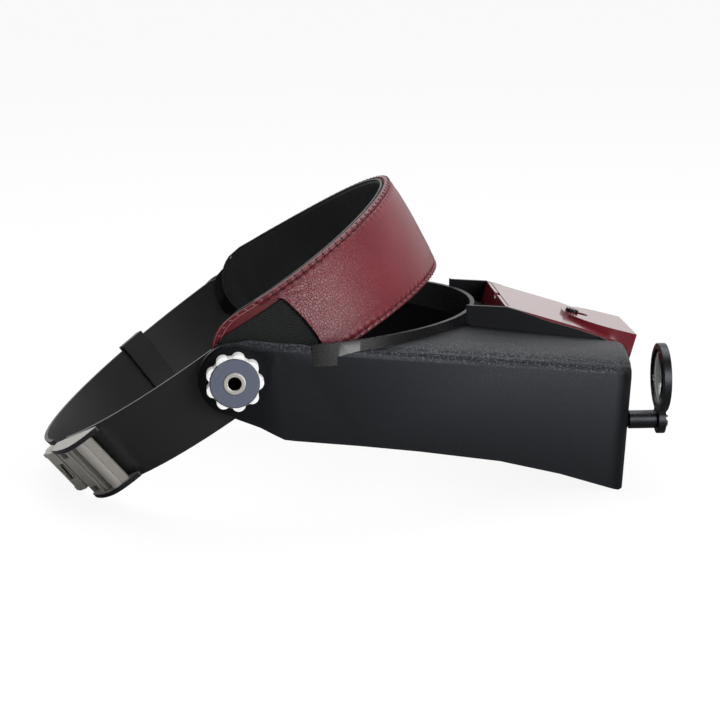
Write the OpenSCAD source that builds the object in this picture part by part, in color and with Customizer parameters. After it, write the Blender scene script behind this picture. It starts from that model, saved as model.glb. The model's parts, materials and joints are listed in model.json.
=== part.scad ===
// Headband magnifier: a padded head loop with a tilting visor, a main lens,
// a fold-down second lens, a swing-up loupe and a battery light on the roof.
// Millimetres. X points forward, Y to the wearer's left, Z up.
// The tilt axis runs along Y. The part stands on its visor rim and its buckle.

/* [Head loop] */
// Length of the loop, front to back, at the middle of its wall
loop_len = 175; // [170:0.5:180]
// Width of the loop at the middle of its wall
loop_wid = 152.8; // [148:0.2:158]
// How far the loop's centre lies in front of the tilt axis
loop_shift = 1.5; // [0:0.1:4]
// Angle by which the brow band rises towards its front
band_tilt = 29.4; // [26:0.2:33]
// Height of the brow cover above the tilt axis at its ends
brow_up = 21; // [19:0.5:23]
// Height of the brow cover below the tilt axis at its ends
brow_down = 13.2; // [11:0.2:15]
// Extra height that the top edge gains towards the front
brow_peak = 5.3; // [2:0.1:7]
// Extra depth that the lower edge gains towards the front
brow_dip = 1.8; // [0:0.1:3]
// Thickness of the outer leather
cover_t = 0.9; // [0.7:0.1:1.3]
// Crown of the outer leather between its hems
cover_crown = 0.6; // [0.2:0.1:1]
// Thickness of the backing leather
backing_t = 0.8; // [0.5:0.1:1]
// Thickness of the brow pad at its edge
pad_t = 1.6; // [1:0.1:2.2]
// Crown of the brow pad
pad_crown = 1.7; // [0.6:0.1:2.4]
// Thickness of the elastic
elastic_t = 1; // [0.8:0.1:1.3]
// Distance in front of the tilt axis where the leather sleeve opens
pocket_u = 35.1; // [30:0.5:40]

/* [Rear straps] */
// Width of a strap at the tilt axis
strap_w = 27.4; // [25:0.2:28]
// Thickness of a strap
strap_t = 1.6; // [1.2:0.1:1.8]
// Width of the right strap at the back of the head
right_tip_w = 27.4; // [26:0.2:27.4]
// Width of the left strap at the back of the head
left_tip_w = 22; // [20:0.5:23]
// Droop of the straps below the level of the visor
strap_tilt = 36; // [33:0.5:38]
// Inward lean of the straps at the back of the head
strap_lean = 10; // [4:0.5:13]
// Width of the keeper loop along the strap
keeper_w = 11.5; // [8:0.5:14]
// Wall of the keeper loop
keeper_t = 1.3; // [1:0.1:1.6]

/* [Buckle] */
// Length of the buckle housing along the strap
buckle_l = 32; // [30:0.5:34]
// Height of the buckle housing across the strap
buckle_h = 27; // [26:0.2:28]
// Bulge of the buckle housing away from the head
buckle_bulge = 8.2; // [7.6:0.2:9]
// Thickness of the housing's end walls
buckle_wall = 2; // [1.6:0.1:2.4]
// Height of the clip plate across the strap
clip_h = 20.6; // [19.6:0.2:21.4]

/* [Visor] */
// Depth of the visor below the tilt axis
visor_drop = 54; // [52:0.5:56]
// Distance from the collar's front to the visor's front face
visor_reach = 58.8; // [56:0.2:62]
// Distance from the lens's side edge to the visor's front corner
front_margin = 15.3; // [14:0.1:17]
// Wall thickness of the visor
visor_t = 2.3; // [2:0.1:2.6]
// Radius of the ears round the tilt axis
ear_r = 14; // [13:0.5:15]
// Radius of the upright front corners
corner_r = 8; // [5:0.5:10]
// Rise of the roof from its shoulder to its middle
roof_rise = 7.3; // [5:0.1:8]
// Lean of the front face
front_lean = 3.55; // [2:0.05:5]
// Gap between the brow band and the collar round the forehead opening
collar_gap = 9.7; // [8:0.1:11]
// Wall thickness of the collar
collar_t = 1.8; // [1.4:0.1:2.2]
// Height of the collar's rim above the tilt axis at the front
collar_top = 16.1; // [14.5:0.1:17]

/* [Lenses] */
// Width of the main lens
lens_w = 84; // [80:0.5:86]
// Height of the main lens
lens_h = 31; // [28:0.5:34]
// Middle thickness of the main lens
lens_t = 4; // [3.6:0.1:4.6]
// Spherical radius of the long lenses
lens_r = 330; // [300:5:400]
// Height of the main lens's middle below the tilt axis
lens_drop = 29; // [27:0.5:31]
// Width of the lens ledge round the window
lens_ledge = 2.5; // [2:0.1:3]
// Depth of the fold-down lens from its hinge to its tip
flip_h = 33; // [30:0.5:35]

/* [Loupe] */
// Outer diameter of the loupe ring
loupe_od = 28; // [26:0.5:30]
// Wall of the loupe ring
loupe_wall = 1.8; // [1.4:0.1:2.2]
// Width of the loupe ring along its axis
loupe_w = 3.4; // [3.2:0.1:4]
// Distance from the swing axis to the middle of the ring
loupe_reach = 17.2; // [16.4:0.2:19]
// Diameter of the loupe post
post_d = 7.4; // [6.4:0.2:8]
// Length of the loupe post in front of the visor
post_l = 11.6; // [10:0.2:12.6]
// Distance from the lens's side edge to the middle of the loupe post
post_gap = 7; // [6.8:0.1:7.6]
// Depth of the loupe post below the tilt axis
post_drop = 26.2; // [25:0.2:29]

/* [Light] */
// Width of the light unit
light_w = 60; // [58:0.5:62]
// Length of the light unit along its slope
light_l = 55.8; // [55:0.2:57]
// Depth of the light unit
light_d = 9.3; // [9:0.1:9.6]
// Slope of the light unit
light_slope = 15.9; // [15:0.1:17]
// Wall thickness of the light unit's cover
light_t = 1.3; // [1:0.1:1.6]
// Width of the raised nose
nose_w = 40; // [36:1:44]
// Distance by which the nose passes the cover's front
nose_out = 2.6; // [1.5:0.1:3]
// Height of the nose's top above the cover at its front edge
nose_up = 1.4; // [1:0.1:2]
// Wall thickness of the cradle
cradle_t = 1.6; // [1.2:0.1:2]
// Diameter of a coin cell
cell_d = 20; // [18:0.5:20]
// Thickness of a coin cell
cell_t = 3.2; // [2.5:0.1:3.2]
// Travel of the light switch
switch_travel = 4; // [3:0.5:4.5]

/* [Pivots and knobs] */
// Diameter of the pivot bolts
bolt_d = 5; // [4:0.5:5]
// Thickness of the friction washers
washer_t = 1; // [0.8:0.1:1.4]
// Radius of the knobs over their lobes
knob_r = 11.2; // [10.5:0.1:12]
// Thickness of the knobs
knob_t = 6.4; // [6:0.2:8]
// Radius of the knob's face disc
disc_r = 9.3; // [8.6:0.1:9.4]
// Radius of the nut in the knob's middle
nut_r = 4.3; // [4:0.1:4.8]
// Number of lobes on a knob
lobe_count = 9; // [7:1:12]

/* [Hidden] */
$fn = 64;
eps = 0.01;
// Clearance between stacked layers and parts that are fitted together
fit = 0.1;
// Radial clearance of a shaft in its bore
run_fit = 0.06;
// Clearance round a piece that slides or swings
slack = 0.3;
// Length of a cutter that passes right through whatever it cuts
through = 200;

loop_a = loop_len / 2;
loop_b = loop_wid / 2;

// Offsets of the layers from the loop's middle surface, outward positive
elastic_in = -elastic_t + 0.2;
elastic_out = 0.2;
cover_in = elastic_out + fit;
strap_in = elastic_out + fit;
strap_out = strap_in + strap_t;
backing_out = elastic_in - fit;
backing_in = backing_out - backing_t;
pad_out = backing_in - fit;
pad_edge = pad_out - pad_t;

// Heights of the strap's edges at the tilt axis
strap_top = strap_w / 2 + 0.3;

// Distances from the middle plane along the tilt axis
strap_y = loop_b + strap_out;
washer_y = strap_y + 0.05;
wall_y = washer_y + washer_t + fit;
visor_half = wall_y + visor_t;
boss_t = 0.5;
knob_y = visor_half + boss_t + 0.15;
knob_face_y = knob_y + knob_t;
bolt_end_y = knob_face_y - 2;
bolt_head_t = 1;
bolt_head_r = 4;
bolt_head_y = loop_b + backing_in - bolt_head_t - fit;
bolt_r = bolt_d / 2;

ridge_z0 = ear_r - 2.5;
ridge_x0 = 25;
ridge_slope = 0.118;
shoulder = 10;

// The collar's rim in plan is half an ellipse
collar_front = loop_shift + loop_a + cover_in + cover_t + collar_gap + collar_t;
collar_cx = 19.7;
collar_a = collar_front - collar_cx;
collar_b = visor_half - 1.8;
collar_fall = 0.05;
collar_skirt = 4;

// Side walls run straight past the ears and then draw in to the front
visor_len = collar_front + visor_reach;
front_half = lens_w / 2 + front_margin;
post_y = lens_w / 2 + post_gap;
taper_x = 16;
wall_taper = (visor_half - front_half) / (visor_len - corner_r - taper_x);

// The light unit's own frame starts at the middle of its rear top edge
light_x = collar_front + 9.8;
light_z = 17.6;
light_half = light_w / 2;
cradle_in = light_half + 0.2;
cradle_out = cradle_in + cradle_t;
cradle_floor = -light_d - 0.2;
cradle_bottom = cradle_floor - cradle_t;
nose_tip = light_l + nose_out;
nose_back = 33;

// Where the buckle and the keeper sit round the loop
buckle_angle = 217.5;
keeper_angle = 121.3;

// Ring of points round the loop at angle t
function loop_n(t) =
    let (n = [loop_b * cos(t), loop_a * sin(t)])
    n / norm(n);
function loop_pt(t, off) =
    [loop_shift + loop_a * cos(t), loop_b * sin(t)] + off * loop_n(t);
function tilted(p, w, tilt) =
    [p.x * cos(tilt) - w * sin(tilt), p.y, p.x * sin(tilt) + w * cos(tilt)];
function angle_at(u) = acos(max(-1, min(1, (u - loop_shift) / loop_a)));

// Edges of the brow band at distance u in front of the tilt axis
function brow_top(u) = brow_up + brow_peak * pow(max(0, u) / loop_a, 2);
function brow_low(u) = -brow_down - brow_dip * pow(max(0, u) / loop_a, 2);
function brow_w(g, u) = brow_low(u) + g * (brow_top(u) - brow_low(u));

// A brow layer: its section is a list of [share of the height, offset],
// and its ends follow end_u(g), the end's distance in front of the axis
module brow_layer(section, end_u, rings, low = 0, high = 0) {
    loft([for (i = [0 : rings])
        let (f = 1 - 2 * i / rings)
        [for (s = section)
            let (
                t = f * angle_at(end_u(s[0])),
                p = loop_pt(t, s[1]),
                u = loop_shift + loop_a * cos(t),
                w = brow_low(u) + low + s[0] * (brow_top(u) - high - brow_low(u) - low)
            )
            tilted(p, w, band_tilt)]]);
}

// A closed skin through a list of rings that have the same number of points
module loft(rings) {
    n = len(rings);
    m = len(rings[0]);
    sides = [for (i = [0 : n - 2], j = [0 : m - 1])
        let (
            a = i * m + j,
            b = i * m + (j + 1) % m,
            c = a + m,
            d = b + m
        )
        each [[a, c, b], [b, c, d]]];
    // Each end is a strip between the two halves of its ring
    first = [for (j = [0 : floor((m - 3) / 2)])
        let (b = j + 1, c = m - 2 - j)
        each b < c ? [[j, b, c], [j, c, c + 1]] : [[j, b, c + 1]]];
    last = [for (f = first) [f[0], f[2], f[1]] + [1, 1, 1] * (n - 1) * m];
    polyhedron([for (r = rings) each r], concat(sides, first, last));
}

// Everything is drawn with the tilt axis through the origin and then turned and moved
module place() {
    translate([axis_x, 0, stand_h]) rotate([0, stand_turn, 0]) children();
}
module at_light() {
    translate([light_x, 0, light_z]) rotate([0, light_slope, 0]) children();
}
module at_front(drop) {
    lean = tan(front_lean);
    translate([visor_len - (drop - 5) * lean, 0, -drop]) rotate([0, front_lean, 0]) children();
}
module along_y(r, y0, y1) {
    translate([0, y0, 0]) rotate([-90, 0, 0]) cylinder(r = r, h = y1 - y0);
}
module along_x(r, x0, x1) {
    translate([x0, 0, 0]) rotate([0, 90, 0]) cylinder(r = r, h = x1 - x0);
}
module box(x0, x1, half_y, z0, z1) {
    translate([x0, -half_y, z0]) cube([x1 - x0, 2 * half_y, z1 - z0]);
}
// A profile drawn in X and Z, given a width along Y
module across(half_y) {
    rotate([90, 0, 0]) linear_extrude(height = 2 * half_y, center = true) children();
}
module both_sides() {
    children();
    mirror([0, 1, 0]) children();
}

// Brow band

function sleeve_end(g) = pocket_u - 0.0064 * pow(brow_w(g, pocket_u) + 9, 2);
function round_end(g, reach) = reach * (1 - sqrt(max(0, 1 - pow(2 * g - 1, 2))));
function tongue_end(g) = -4.2 + round_end(g, 17);
function pad_end(g) = tongue_end(g) + 1;
function elastic_end(g) = -4 + round_end(g, 9);

hem_t = cover_t * 0.8;
// Sections of the layers: [share of the height, height of the face over its flat side]
function face_section(flat, face) = [
    each [for (f = face) [f[0], flat + f[1]]],
    each [for (k = [len(face) - 1 : -1 : 0]) [face[k][0], flat]]
];
cover_face = [
    [0, hem_t * 0.7], [0.025, cover_t], [0.085, cover_t], [0.11, hem_t],
    [0.15, cover_t + cover_crown * 0.3], [0.3, cover_t + cover_crown * 0.8],
    [0.5, cover_t + cover_crown], [0.7, cover_t + cover_crown * 0.8],
    [0.85, cover_t + cover_crown * 0.3], [0.89, hem_t], [0.915, cover_t], [0.975, cover_t],
    [1, hem_t * 0.7]
];
module brow_cover() {
    color("#6e2f37") place() brow_layer(face_section(cover_in, cover_face), function (g) sleeve_end(g), 36);
}

backing_face = [for (g = [0, 0.03, 0.1, 0.22, 0.5, 0.78, 0.9, 0.97, 1]) [g, backing_t]];
module brow_backing() {
    color("#63282f") place() difference() {
        brow_layer(face_section(backing_in, backing_face), function (g) tongue_end(g), 44);
        along_y(bolt_r + fit, -loop_wid, loop_wid);
    }
}

// The pad is piped round its edge and crowned towards the head
pad_face = [
    [0, 0.7 * pad_t], [0.03, pad_t + 0.3], [0.07, pad_t], [0.15, pad_t + pad_crown * 0.5],
    [0.32, pad_t + pad_crown * 0.93], [0.5, pad_t + pad_crown], [0.68, pad_t + pad_crown * 0.93],
    [0.85, pad_t + pad_crown * 0.5], [0.93, pad_t], [0.97, pad_t + 0.3], [1, 0.7 * pad_t]
];
pad_section = let (f = face_section(0, pad_face))
    [for (k = [len(f) - 1 : -1 : 0]) [f[k][0], pad_out - f[k][1]]];
pad_inset = 1.4;
module brow_pad() {
    color("#1b1b1d") place() difference() {
        brow_layer(pad_section, function (g) pad_end(g), 36, pad_inset, pad_inset + 0.8);
        along_y(bolt_head_r + 0.6, -loop_wid, loop_wid);
    }
}

elastic_face = [for (g = [0, 0.1, 0.3, 0.5, 0.7, 0.9, 1]) [g, elastic_t]];
module elastic_band() {
    color("#202022") place() difference() {
        brow_layer(face_section(elastic_in, elastic_face), function (g) elastic_end(g), 40, 1.2, 5.2);
        along_y(bolt_r + fit, -loop_wid, loop_wid);
    }
}

// Rear straps

// A point on a strap: q is the distance below its top edge
function lean_at(t) = strap_lean * pow(max(0, -cos(t)), 2);
function strap_pt(t, off, q) =
    tilted(loop_pt(t, off - q * sin(lean_at(t))), strap_top - q * cos(lean_at(t)), strap_tilt);
function strap_width(t, tip_w) = strap_w + (tip_w - strap_w) * pow(max(0, -cos(t)), 2);

// The housing's bowed profile: [distance along the strap, distance away from the head]
housing_x0 = -0.4 * buckle_l;
housing_peak = 0.13 * buckle_l;
function housing_bow(s) =
    let (reach = s < housing_peak ? 0.8 * buckle_l : 0.5 * buckle_l)
    buckle_bulge * (1 - pow((s - housing_peak) / reach, 2));
housing_arc = [for (k = [0 : 12]) let (s = housing_x0 + buckle_l * k / 12) [s, housing_bow(s)]];
buckle_n = loop_n(buckle_angle);
buckle_off = strap_out + slack;
foot_q = buckle_h;

// The part stands on the rear corner of the visor's rim and on the buckle's lowest point:
// all of it turns until both are on one level
rim_x = visor_len - 5.5;
function foot_turn(sn) =
    let (
        lean = lean_at(buckle_angle),
        mid = loop_pt(buckle_angle, buckle_off),
        out = sn[1] * cos(lean) - foot_q * sin(lean),
        u = mid.x - sn[0] * buckle_n.y + out * buckle_n.x,
        w = strap_top - foot_q * cos(lean) - sn[1] * sin(lean),
        foot = tilted([u, 0], w, strap_tilt)
    )
    atan((foot.z + visor_drop) / (foot.x - rim_x));
stand_turn = max([for (sn = housing_arc) foot_turn(sn)]);
stand_h = visor_drop * cos(stand_turn) + rim_x * sin(stand_turn);

// X along the strap, Y towards the head, Z up across it from its top edge
module at_strap(t, off) {
    n = loop_n(t);
    p = loop_pt(t, off);
    rotate([0, -strap_tilt, 0]) translate([p.x, p.y, strap_top])
        rotate([0, 0, atan2(n.x, -n.y)]) rotate([lean_at(t), 0, 0]) children();
}
module strap(t0, t1, rings, tip_w) {
    loft([for (i = [0 : rings])
        let (t = t0 + (t1 - t0) * i / rings, w = strap_width(t, tip_w))
        [for (q = [[strap_in, 0], [strap_out, 0], [strap_out, w], [strap_in, w]]) strap_pt(t, q[0], q[1])]]);
}
// The strap's front end is round about the pivot bolt
module rounded_front() {
    difference() {
        intersection() {
            rotate([0, -strap_tilt, 0]) union() {
                across(through) circle(r = strap_w / 2 - fit);
                translate([-through, -through, -through]) cube([through, 2 * through, 2 * through]);
            }
            children();
        }
        along_y(bolt_r + fit, -loop_wid, loop_wid);
    }
}
module right_strap() {
    color("#26262a") place() rounded_front() strap(buckle_angle - 5, 280, 16, right_tip_w);
}
module left_strap() {
    color("#26262a") {
        place() rounded_front() strap(80, fold_angle, 30, left_tip_w);
        // Fold round the clip's web bar
        at_buckle() translate([web_s, web_y, fold_low]) difference() {
            cylinder(r = fold_r + strap_t, h = fold_top - fold_low);
            translate([0, 0, -1]) cylinder(r = fold_r, h = fold_top - fold_low + 2);
        }
    }
}

// The keeper's room also takes the strap's curve over the length that it slides
keeper_travel = 3;
keeper_gap = 0.5;
keeper_reach = keeper_w / 2 + keeper_travel;
keeper_depth = strap_t + 2 * keeper_gap + pow(keeper_reach, 2) / (2 * loop_radius(keeper_angle));
module strap_keeper() {
    widest = keeper_angle - 57 * keeper_reach / loop_radius(keeper_angle);
    inner_h = strap_width(widest, left_tip_w) + 2 * keeper_gap;
    low = keeper_gap - inner_h;
    color("#1d1d20") place() at_strap(keeper_angle, strap_out + keeper_gap) difference() {
        translate([-keeper_w / 2, -keeper_t, low - keeper_t])
            cube([keeper_w, keeper_depth + 2 * keeper_t, inner_h + 2 * keeper_t]);
        translate([-keeper_w, 0, low]) cube([2 * keeper_w, keeper_depth, inner_h]);
    }
}

// Buckle: in its own frame X runs along the strap and -Y points away from the head

back_t = 1.4;
face_t = 1.5;
face_x0 = housing_x0 + 2.2;
face_l = 9.4;
face_y = housing_bow(face_x0) - 0.6;
face_rise = 1.6;
// Groove and thin ridge between the face plate and the bar
groove_l = 3.2;
groove_d = 1;
ridge_t = 0.7;
face_hole_l = 6;
face_hole_h = 2.6;
face_hole_gap = 1;
bar_r = 3.4;
bar_x = housing_x0 + 21.7;
bar_y = housing_bow(bar_x) - bar_r - 0.2;
rear_bar_x = bar_x + bar_r + 0.4;
rear_bar_l = 3.2;
rear_bar_t = 1.8;
rear_bar_turn = 38;
prong_h = 3.4;
tongue_t = 0.9;
clip_z = 1.8;
clip_t = 2.2;
clip_corner = 1.4;
grip_l = 8;
clip_root = housing_x0;
// The clip's web bar sits in a fold at the end of the left strap
web_s = clip_root - 10.5;
fold_angle = buckle_angle + web_s * 57.3 / loop_speed(buckle_angle - 7);
web_r = 1;
fold_r = web_r + slack;
lug_t = 2;
fold_top = clip_z + clip_h / 2 - lug_t - slack;
fold_low = clip_z - clip_h / 2 + lug_t + slack;
web_y = loop_sag(web_s) + slack - fold_r - strap_t + 0.2;
fold_out = fold_r + strap_t;
plate_y = back_t + 0.5;
plate_l = clip_root - web_s - fold_out - slack;
function loop_sag(s) = s * s / (2 * loop_radius(buckle_angle));
function loop_speed(t) = norm([loop_a * sin(t), loop_b * cos(t)]);
function loop_radius(t) = pow(loop_speed(t), 3) / (loop_a * loop_b);

module at_buckle() {
    place() at_strap(buckle_angle, buckle_off) translate([0, 0, -buckle_h / 2]) children();
}
module housing_slab(z0, z1) {
    translate([0, 0, z0]) linear_extrude(height = z1 - z0)
        polygon([for (p = housing_arc) [p[0], -p[1]], [housing_x0 + buckle_l, 0], [housing_x0, 0]]);
}
module buckle_housing() {
    half = buckle_h / 2;
    inner = half - buckle_wall;
    color("#3a3a3d") at_buckle() difference() {
        union() {
            housing_slab(inner, half);
            housing_slab(-half, -inner);
            translate([0, 0, -inner]) linear_extrude(height = 2 * inner) {
                translate([housing_x0, -back_t]) square([bar_x - bar_r - housing_x0, back_t]);
                // Face plate with a groove and a ridge behind it
                translate([face_x0, -face_y]) rotate(-atan(face_rise / face_l)) square([face_l + 0.2, face_t]);
                translate([face_x0 + face_l, groove_d - face_y - face_rise]) square([groove_l + eps, face_t]);
                translate([face_x0 + face_l + groove_l, -face_y - face_rise])
                    square([ridge_t, face_y + face_rise]);
                translate([bar_x, -bar_y]) circle(r = bar_r);
                translate([rear_bar_x, -housing_bow(rear_bar_x) + 0.5]) rotate(rear_bar_turn)
                    square([rear_bar_l, rear_bar_t]);
            }
        }
        for (z = [inner - face_hole_gap - face_hole_h, -inner + face_hole_gap])
            translate([face_x0 + 1.6, -face_y - 3, z]) cube([face_hole_l, face_t + 4, face_hole_h]);
    }
}
module buckle_clip() {
    low = clip_z - clip_h / 2;
    high = clip_z + clip_h / 2;
    color("#404044") at_buckle() {
        difference() {
            translate([clip_root - slack - plate_l, -plate_y, low]) rotate([90, 0, 0])
                linear_extrude(height = clip_t) offset(r = clip_corner) offset(delta = -clip_corner)
                    square([plate_l, clip_h]);
            // Grip slots
            for (k = [0 : 2])
                translate([clip_root - slack - 1.8 - 2.1 * k, -plate_y - clip_t - 1, clip_z - grip_l / 2])
                    cube([1, 1 + clip_t / 2, grip_l]);
        }
        // Lugs that hold the web bar
        for (z = [low, high - lug_t]) translate([0, 0, z]) {
            translate([web_s, web_y, 0]) cylinder(r = web_r + 1, h = lug_t);
            translate([web_s, -plate_y - 1, 0]) cube([fold_out + 1, plate_y + web_y + 1 + web_r, lug_t]);
        }
        translate([web_s, web_y, low + 1]) cylinder(r = web_r, h = clip_h - 2);
        // Tongue and two prongs inside the housing
        translate([clip_root - 1.5, -plate_y - tongue_t, low + 2]) cube([5, tongue_t, clip_h - 6]);
        for (z = [low + 2, high - 4 - prong_h])
            translate([clip_root + 3, -plate_y - tongue_t, z]) cube([5, tongue_t, prong_h]);
    }
}

// Pivots

// Radius and depth of the hexagonal socket in a bolt's outer end
socket_r = 1.45;
socket_d = 1.5;
module pivot_bolt() {
    color("#b8b8bc") place() difference() {
        union() {
            along_y(bolt_head_r, bolt_head_y, bolt_head_y + bolt_head_t);
            along_y(bolt_r, bolt_head_y + bolt_head_t - eps, bolt_end_y);
        }
        translate([0, bolt_end_y - socket_d, 0]) rotate([-90, 0, 0])
            cylinder(r = socket_r, h = socket_d + 1, $fn = 6);
    }
}
module right_pivot_bolt() { mirror([0, 1, 0]) pivot_bolt(); }
module left_pivot_bolt() { pivot_bolt(); }

module pivot_washers() {
    color("#d9d9d6") place() both_sides() difference() {
        along_y(ear_r - 5, washer_y, washer_y + washer_t);
        along_y(bolt_r + fit, washer_y - 1, washer_y + washer_t + 1);
    }
}

// Knobs: a lobed grip, a face disc and a nut that turns on the pivot bolt

disc_t = 1;
lobe_r = 2.7;
module knob() {
    color("#e8e8e6") place() difference() {
        translate([0, knob_y, 0]) rotate([-90, 0, 0]) linear_extrude(height = knob_t) union() {
            circle(r = disc_r + 0.4);
            for (k = [0 : lobe_count - 1])
                rotate(k * 360 / lobe_count) translate([knob_r - lobe_r, 0]) circle(r = lobe_r);
        }
        along_y(disc_r + 0.05, knob_face_y - 0.5, knob_face_y + 1);
        along_y(nut_r + 0.05, knob_y + 1.6, knob_face_y + 1);
        along_y(bolt_r + run_fit, knob_y - 1, knob_face_y);
    }
}
module knob_disc() {
    color("#555b6b") place() difference() {
        along_y(disc_r, knob_face_y - 0.5, knob_face_y - 0.5 + disc_t);
        along_y(nut_r + 0.05, knob_face_y - 2, knob_face_y + 2);
    }
}
module knob_nut() {
    color("#c9c9cc") place() difference() {
        along_y(nut_r, knob_y + 1.6, knob_face_y + 0.9);
        along_y(bolt_r + run_fit, knob_y, knob_face_y + 2);
    }
}
module right_knob() { mirror([0, 1, 0]) knob(); }
module left_knob() { knob(); }
module right_knob_disc() { mirror([0, 1, 0]) knob_disc(); }
module left_knob_disc() { knob_disc(); }
module right_knob_nut() { mirror([0, 1, 0]) knob_nut(); }
module left_knob_nut() { knob_nut(); }

// Visor

lens_z = -lens_drop;
front_slope = tan(front_lean);
edge_r = 3;
// A shallow crease runs along the roof just inside its edges
crease = 0.45;
crease_at = 2.8;
// Half the width at x of a skin that lies t inside the outer one
function skin_half(x, t) =
    let (
        r = corner_r - t,
        bend = visor_len - corner_r,
        into = max(0, min(r, x - bend))
    )
    visor_half - t - wall_taper * max(0, min(x, bend) - taper_x) - r + sqrt(max(0, r * r - into * into));
function skin_top(x, d, t) =
    let (into = max(0, min(edge_r, x - (visor_len - t - edge_r))))
    ridge_z0 - ridge_slope * (x - ridge_x0) + roof_rise * (1 - exp(-d / shoulder)) - t
        - edge_r + sqrt(edge_r * edge_r - into * into) - 2.2 * exp(-d / 0.6)
        - crease * exp(-pow((d - crease_at) / 0.7, 2));
function sheared(x, y, z) = [x + front_slope * (z + 5) * max(0, min(1, (x - 60) / 90)), y, z];
function skin_ring(x, t, low) =
    let (
        half = skin_half(x, t),
        insets = [0, 0.4, 1, 1.9, 2.7, 3.6, 5, 8, 13, 20, 28],
        side = [for (d = insets) sheared(x, half - d, skin_top(x, d, t))],
        mid = (half - 28) / 2
    )
    concat(
        [sheared(x, half, low)], side, [sheared(x, mid, skin_top(x, 40, t))],
        [sheared(x, -mid, skin_top(x, 40, t))],
        [for (k = [len(insets) - 1 : -1 : 0]) [side[k].x, -side[k].y, side[k].z]],
        [sheared(x, -half, low)]
    );
module skin(t, low, back) {
    r = corner_r - t;
    bend = visor_len - corner_r;
    stations = [
        back, taper_x, each [for (d = [107.5, 77.5, 47.5, 22.5]) bend - d],
        bend, each [for (k = [0.375, 0.675, 0.875, 0.9625, 1]) bend + k * r]
    ];
    loft([for (x = stations) skin_ring(x, t, low)]);
}
// The swept lower edge of the sides, as shares of the visor's length and depth
side_sweep = [[0.81, 0.839], [0.655, 0.711], [0.453, 0.6], [0.304, 0.53]];
module side_profile() {
    circle(r = ear_r);
    polygon([
        [0, ear_r], [12, ear_r + 2], [30, 40], [visor_len + 20, 40],
        [visor_len + 20, -visor_drop + (visor_len + 20 - rim_x) * tan(stand_turn)],
        [rim_x, -visor_drop], [rim_x - 2.9, -visor_drop + 1],
        each [for (p = side_sweep) [p.x * visor_len, -p.y * visor_drop]],
        [23.1, -25], [19.2, -24.3], [9.6, -19.1], [0.6, -15.6], [-2.6, -ear_r + 0.2]
    ]);
}
function half_ellipse(a, b) = [for (k = [0 : 60]) let (t = -90 + 3 * k) [collar_cx + a * cos(t), b * sin(t)]];
module collar_plan(inset) {
    polygon(half_ellipse(collar_a - inset, collar_b - inset));
}
module collar() {
    intersection() {
        translate([0, 0, collar_skirt]) linear_extrude(height = 40) difference() {
            collar_plan(0);
            collar_plan(collar_t);
        }
        across(through) polygon([
            [30, 0], [collar_front + 5, 0], [collar_front + 5, collar_top],
            [30, collar_top - collar_fall * (collar_front - 30)]
        ]);
    }
}
retainer_t = 1.6;
retainer_lip = 3.4;
// Ears that carry the fold-down lens's pins, inside the front wall
flip_x = visor_len - 13;
flip_z = -10;
flip_pin_r = 1.5;
flip_half = lens_w / 2 + 2;
flip_bar_half = lens_w / 2 + retainer_lip;
flip_ear_y = flip_bar_half + slack;
flip_ear_t = 2.4;
module flip_ear() {
    translate([flip_x - 3, flip_ear_y, flip_z - 3])
        cube([visor_len - visor_t + 0.6 - flip_x + 3 + front_slope * flip_z, flip_ear_t, 6]);
}
// Between the ears the roof is open from wall to wall
ear_plan = [[-40, wall_y], [taper_x, wall_y], [34, wall_y - wall_taper * (34 - taper_x)]];
module visor_shell() {
    opening_w = lens_w - 2 * lens_ledge;
    opening_h = lens_h - 2 * lens_ledge;
    color("#1a1a1c") place() difference() {
        union() {
            difference() {
                intersection() {
                    skin(0, -visor_drop - 5, -ear_r - 3);
                    across(through) side_profile();
                }
                skin(visor_t, -visor_drop - 9, -ear_r - 6);
                translate([0, 0, -2]) linear_extrude(height = 60) union() {
                    collar_plan(collar_t);
                    polygon([for (p = ear_plan) p, for (k = [2 : -1 : 0]) [ear_plan[k].x, -ear_plan[k].y]]);
                }
                light_pocket();
            }
            collar();
            // Flat seat for the nut of the loupe post
            translate([0, -post_y, -post_drop])
                along_x(post_seat_r, wall_front - visor_t - post_seat_t, wall_front - 1);
            both_sides() {
                flip_ear();
                along_y(ear_r - 1, visor_half - 0.5, visor_half + boss_t);
            }
        }
        both_sides() {
            along_y(bolt_r + run_fit, wall_y - 1, visor_half + boss_t + 1);
            translate([flip_x, 0, flip_z])
                along_y(flip_pin_r + run_fit, flip_ear_y - 1, flip_ear_y + flip_ear_t + 1);
        }
        at_front(lens_drop) translate([-visor_t - 2, -opening_w / 2, -opening_h / 2])
            cube([visor_t + 4, opening_w, opening_h]);
        translate([0, -post_y, -post_drop]) along_x(stud_r + fit, visor_len - 20, visor_len + 5);
        lens_screw_places() along_x(screw_r + fit, -visor_t - 0.2, -0.8);
    }
}
// The roof is open where the light unit's cradle sits, up to the collar
module light_pocket() {
    difference() {
        at_light() box(-40, 80, cradle_out + fit, cradle_bottom - fit, 40);
        linear_extrude(height = 2 * through, center = true) collar_plan(-eps);
    }
}

// Lenses

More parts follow.
